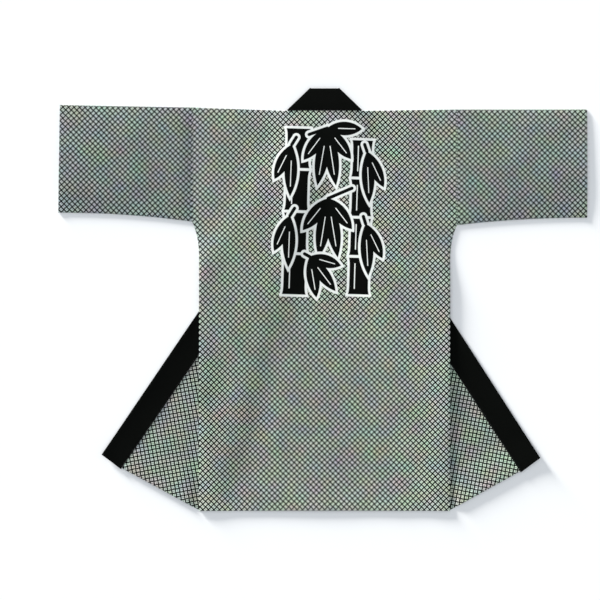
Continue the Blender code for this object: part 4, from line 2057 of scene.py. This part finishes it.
@dataclass
class Collar:
    """The collar band, from the hem of one flap round the neck to the hem of the other."""

    plans: list[FrontPlan]
    columns: int = 10
    neck_columns: int = 34
    run: float = 0.90
    cut_start: float = 0.1
    edge_round: float = 0.0005
    stitch_inset: float = 0.0016
    stitch_knots: int = 60
    stitches_start: float = 0.02
    stitches_end: float = 0.998

    def neck_turn(self, plan: FrontPlan) -> tuple[Vector, Vector]:
        """The line of the turn beside the neck, from its seam end to its free end.

        Args:
            plan: The half's plan.

        Returns:
            The two ends in plan.
        """
        body, walls = plan.body, plan.walls
        base = Vector((body.neck_half - walls.gap, body.neck_y + walls.cloth / 2 + walls.gap))
        return base, Vector((plan.band.top_half, body.neck_y + plan.band.rise))

    def along(self, plan: FrontPlan, share: float, part: float) -> Vector:
        """A point of the band's flat cut."""
        across = plan.sizes.sign * part * plan.band_width(share)
        return Vector((self.cut_start + share * self.run, across))

    def flap_spot(self, plan: FrontPlan, share: float, point: Vector, part: float) -> Spot:
        """A spot of the stretch on the flap.

        Args:
            plan: The half's plan.
            share: The row's share.
            point: The point in plan.
            part: How far across the band it is.

        Returns:
            The spot.
        """
        height = plan.walls.middle(plan.walls.collar) + plan.flap_spring(share, point, part)
        return Spot(plan.place(point, height), self.along(plan, share, part))

    def half_grids(self, plan: FrontPlan) -> list[list[list[Spot]]]:
        """One half's stretch beside the neck, its crease, and the stretch on the flap.

        Args:
            plan: The half's plan.

        Returns:
            Grids of spots that share their edges.
        """
        fold, low = plan.fold, plan.walls.middle(plan.walls.collar)
        standing, bend, flap = [], [], []
        parts = [k / self.columns for k in range(self.columns + 1)]
        for j, share in enumerate(plan.band_rows):
            start = plan.band_seam(share)
            creased = plan.first_bend_row <= j <= plan.crease_row
            fold_part = 1.0
            if j <= plan.crease_row:
                end = plan.band_end(share, start)
                fold_part = (end - start).length / (plan.free_edge(share) - start).length
                if j == plan.crease_row:
                    fold_part = 0.0
                lifts = [plan.band_lift(share, start.lerp(end, part)) for part in parts]
                if creased:
                    end = end + fold.inward * lifts[-1] / 2
                if j == plan.crease_row:
                    start = end
                first, last = self.neck_turn(plan) if j == 0 else (start, end)
                row = []
                for part, lift in zip(parts, lifts):
                    place = plan.place(first.lerp(last, part), lift + low)
                    row.append(Spot(place, self.along(plan, share, part * fold_part)))
                standing.append(row)
            if creased:
                bent = plan.bend((end, end), -fold.inward, low, lifts[-1] + low)
                for spot in bent:
                    spot.cut = self.along(plan, share, fold_part)
                bend.append(bent)
            if j >= plan.first_bend_row:
                inner = end if creased else fold.mirror(plan.band_seam(share))
                outer = inner if j == plan.first_bend_row else fold.mirror(plan.free_edge(share))
                row = []
                for part in parts:
                    across = blend(fold_part if creased else 0.0, 1.0, part)
                    row.append(self.flap_spot(plan, share, inner.lerp(outer, part), across))
                flap.append(row)
        return [standing, bend, flap]

    def neck_grids(self) -> list[list[list[Spot]]]:
        """The band across the back of the neck and its half-round turns down to both fronts.

        Returns:
            Grids of spots that share their edges, the last one across the neck.
        """
        turns, ends = [], []
        for plan in self.plans:
            walls = plan.walls
            base, top = self.neck_turn(plan)
            run = (top - base).normalized()
            outward = Vector((run.y, -run.x))
            start, last = plan.band_seam(0.0), plan.band_end(0.0, plan.band_seam(0.0))
            turn, end = [], []
            for k in range(self.columns + 1):
                part = k / self.columns
                point = base.lerp(top, part)
                low = plan.band_lift(0.0, start.lerp(last, part)) + walls.middle(walls.collar)
                high = low + walls.collar + walls.gap
                bent = plan.bend((point, point), outward, low, high)
                for spot in bent:
                    spot.cut = self.along(plan, 0.0, part)
                turn.append(bent)
                end.append(Spot(plan.place(point, high), self.along(plan, 0.0, part)))
            turns.append(turn)
            ends.append(end)
        across = []
        for k, (right, left) in enumerate(zip(*ends)):
            width = k / self.columns * self.plans[0].band.width
            row = []
            for i in range(self.neck_columns + 1):
                place = right.place.lerp(left.place, i / self.neck_columns)
                row.append(Spot(place, Vector((self.cut_start - place.x, width))))
            across.append(row)
        return [*turns, across]

    def stitch_lines(self, thickness: float) -> list[list[Vector]]:
        """The stitches beside the seam on both flaps and across the neck.

        Args:
            thickness: The cloth's drawn thickness.

        Returns:
            Three lines of points on the collar.
        """
        lines = []
        raised = Vector((0, 0, thickness / 2))
        for plan in self.plans:
            line, first = [], plan.band_foot + self.stitches_start
            for k in range(self.stitch_knots + 1):
                share = blend(first, self.stitches_end, k / self.stitch_knots)
                seam, free = plan.fold.mirror(plan.band_seam(share)), plan.fold.mirror(plan.free_edge(share))
                part = self.stitch_inset / (free - seam).length
                line.append(self.flap_spot(plan, share, seam.lerp(free, part), part).place + raised)
            lines.append(line)
        across = self.neck_grids()[2]
        inset = self.stitch_inset / (across[-1][0].place - across[0][0].place).length
        lines.append([a.place.lerp(b.place, inset) + raised for a, b in zip(across[0], across[-1])])
        return lines

    def make(self, wardrobe: Wardrobe) -> bpy.types.Object:
        """Builds the collar and its stitches.

        Args:
            wardrobe: The coat's materials.

        Returns:
            The collar.
        """
        plan = self.plans[0]
        thickness = plan.walls.drawn(plan.walls.collar)
        cloth = (thickness, wardrobe.collar, wardrobe.collar, self.edge_round)
        piece = ClothPiece("collar_band", "collar", "black_cotton", *cloth)
        grids = self.neck_grids()
        for half in self.plans:
            grids += self.half_grids(half)
        neck = Vector((plan.body.centre_x, plan.body.neck_y + plan.band.rise / 2, 0.02))
        made = piece.make(grids, up_near=neck)
        stitches = StitchRow("collar_stitches", "black_cotton", wardrobe.black_thread)
        sewn = stitches.make(self.stitch_lines(thickness))
        return made


# The studio


@dataclass
class Studio:
    """The pale floor, the soft light and the camera straight above."""

    frame_width: float = 1.32
    middle: tuple[float, float] = (-0.0500, -0.0015)
    distance: float = 3.116
    sensor: float = 36.0
    sky: float = 0.725
    sky_colour: tuple[float, float, float] = (0.906, 0.952, 1.0)
    sun: float = 13.6
    sun_colour: tuple[float, float, float] = (1.0, 0.985, 0.955)
    sun_elevation_deg: float = 5.6
    sun_azimuth_deg: float = 130.0
    sun_spread_deg: float = 9.0
    floor_size: float = 8.0
    floor_drop: float = 0.0002

    def make(self, groups: Groups) -> None:
        """Builds the floor, the lights and the camera.

        Args:
            groups: The shared node groups.
        """
        self.make_floor(StudioFloor().make(groups))
        self.make_lights()
        self.make_camera()

    def make_floor(self, material: Material) -> None:
        """The floor plane, just below the height that the coat lies on.

        Args:
            material: Its material.
        """
        mesh = bmesh.new()
        place = Matrix.Translation((0.0, 0.0, -self.floor_drop))
        bmesh.ops.create_grid(mesh, x_segments=8, y_segments=8, size=self.floor_size / 2, matrix=place)
        new_piece("coat_floor", mesh, material)

    def make_lights(self) -> None:
        """An even, faintly blue sky, and a low light from the upper left with soft shadows."""
        world = bpy.data.worlds.new("studio_sky")
        world.use_nodes = True
        sky = world.node_tree.nodes["Background"]
        sky.inputs["Color"].default_value = (*self.sky_colour, 1.0)
        sky.inputs["Strength"].default_value = self.sky
        bpy.context.scene.world = world
        lamp = bpy.data.lights.new("window_light", "SUN")
        lamp.energy = self.sun
        lamp.color = self.sun_colour
        lamp.angle = math.radians(self.sun_spread_deg)
        light = bpy.data.objects.new("window_light", lamp)
        turn, rise = math.radians(self.sun_azimuth_deg), math.radians(self.sun_elevation_deg)
        towards = Vector((math.cos(turn) * math.cos(rise), math.sin(turn) * math.cos(rise), math.sin(rise)))
        light.rotation_euler = towards.to_track_quat("Z", "Y").to_euler()
        bpy.context.scene.collection.objects.link(light)

    def make_camera(self) -> None:
        """The camera, looking straight down on the photograph's frame."""
        data = bpy.data.cameras.new("camera_above")
        data.sensor_width = self.sensor
        data.lens = self.sensor * self.distance / self.frame_width
        camera = bpy.data.objects.new("camera_above", data)
        camera.location = (*self.middle, self.distance)
        bpy.context.scene.collection.objects.link(camera)
        bpy.context.scene.camera = camera
        bpy.context.scene.view_settings.view_transform = "Standard"


def main() -> None:
    """Builds the coat and its studio."""
    logging.basicConfig(level=logging.INFO, format="%(message)s")
    groups = Groups()
    wardrobe = Wardrobe(groups)
    plans = [FrontPlan(sizes) for sizes in HALVES]
    for plan in plans:
        Front(plan).make(wardrobe)
        Sleeve(plan).make(wardrobe)
    Collar(plans).make(wardrobe)
    Back(plans).make(wardrobe)
    Studio().make(groups)


if __name__ == "__main__":
    main()
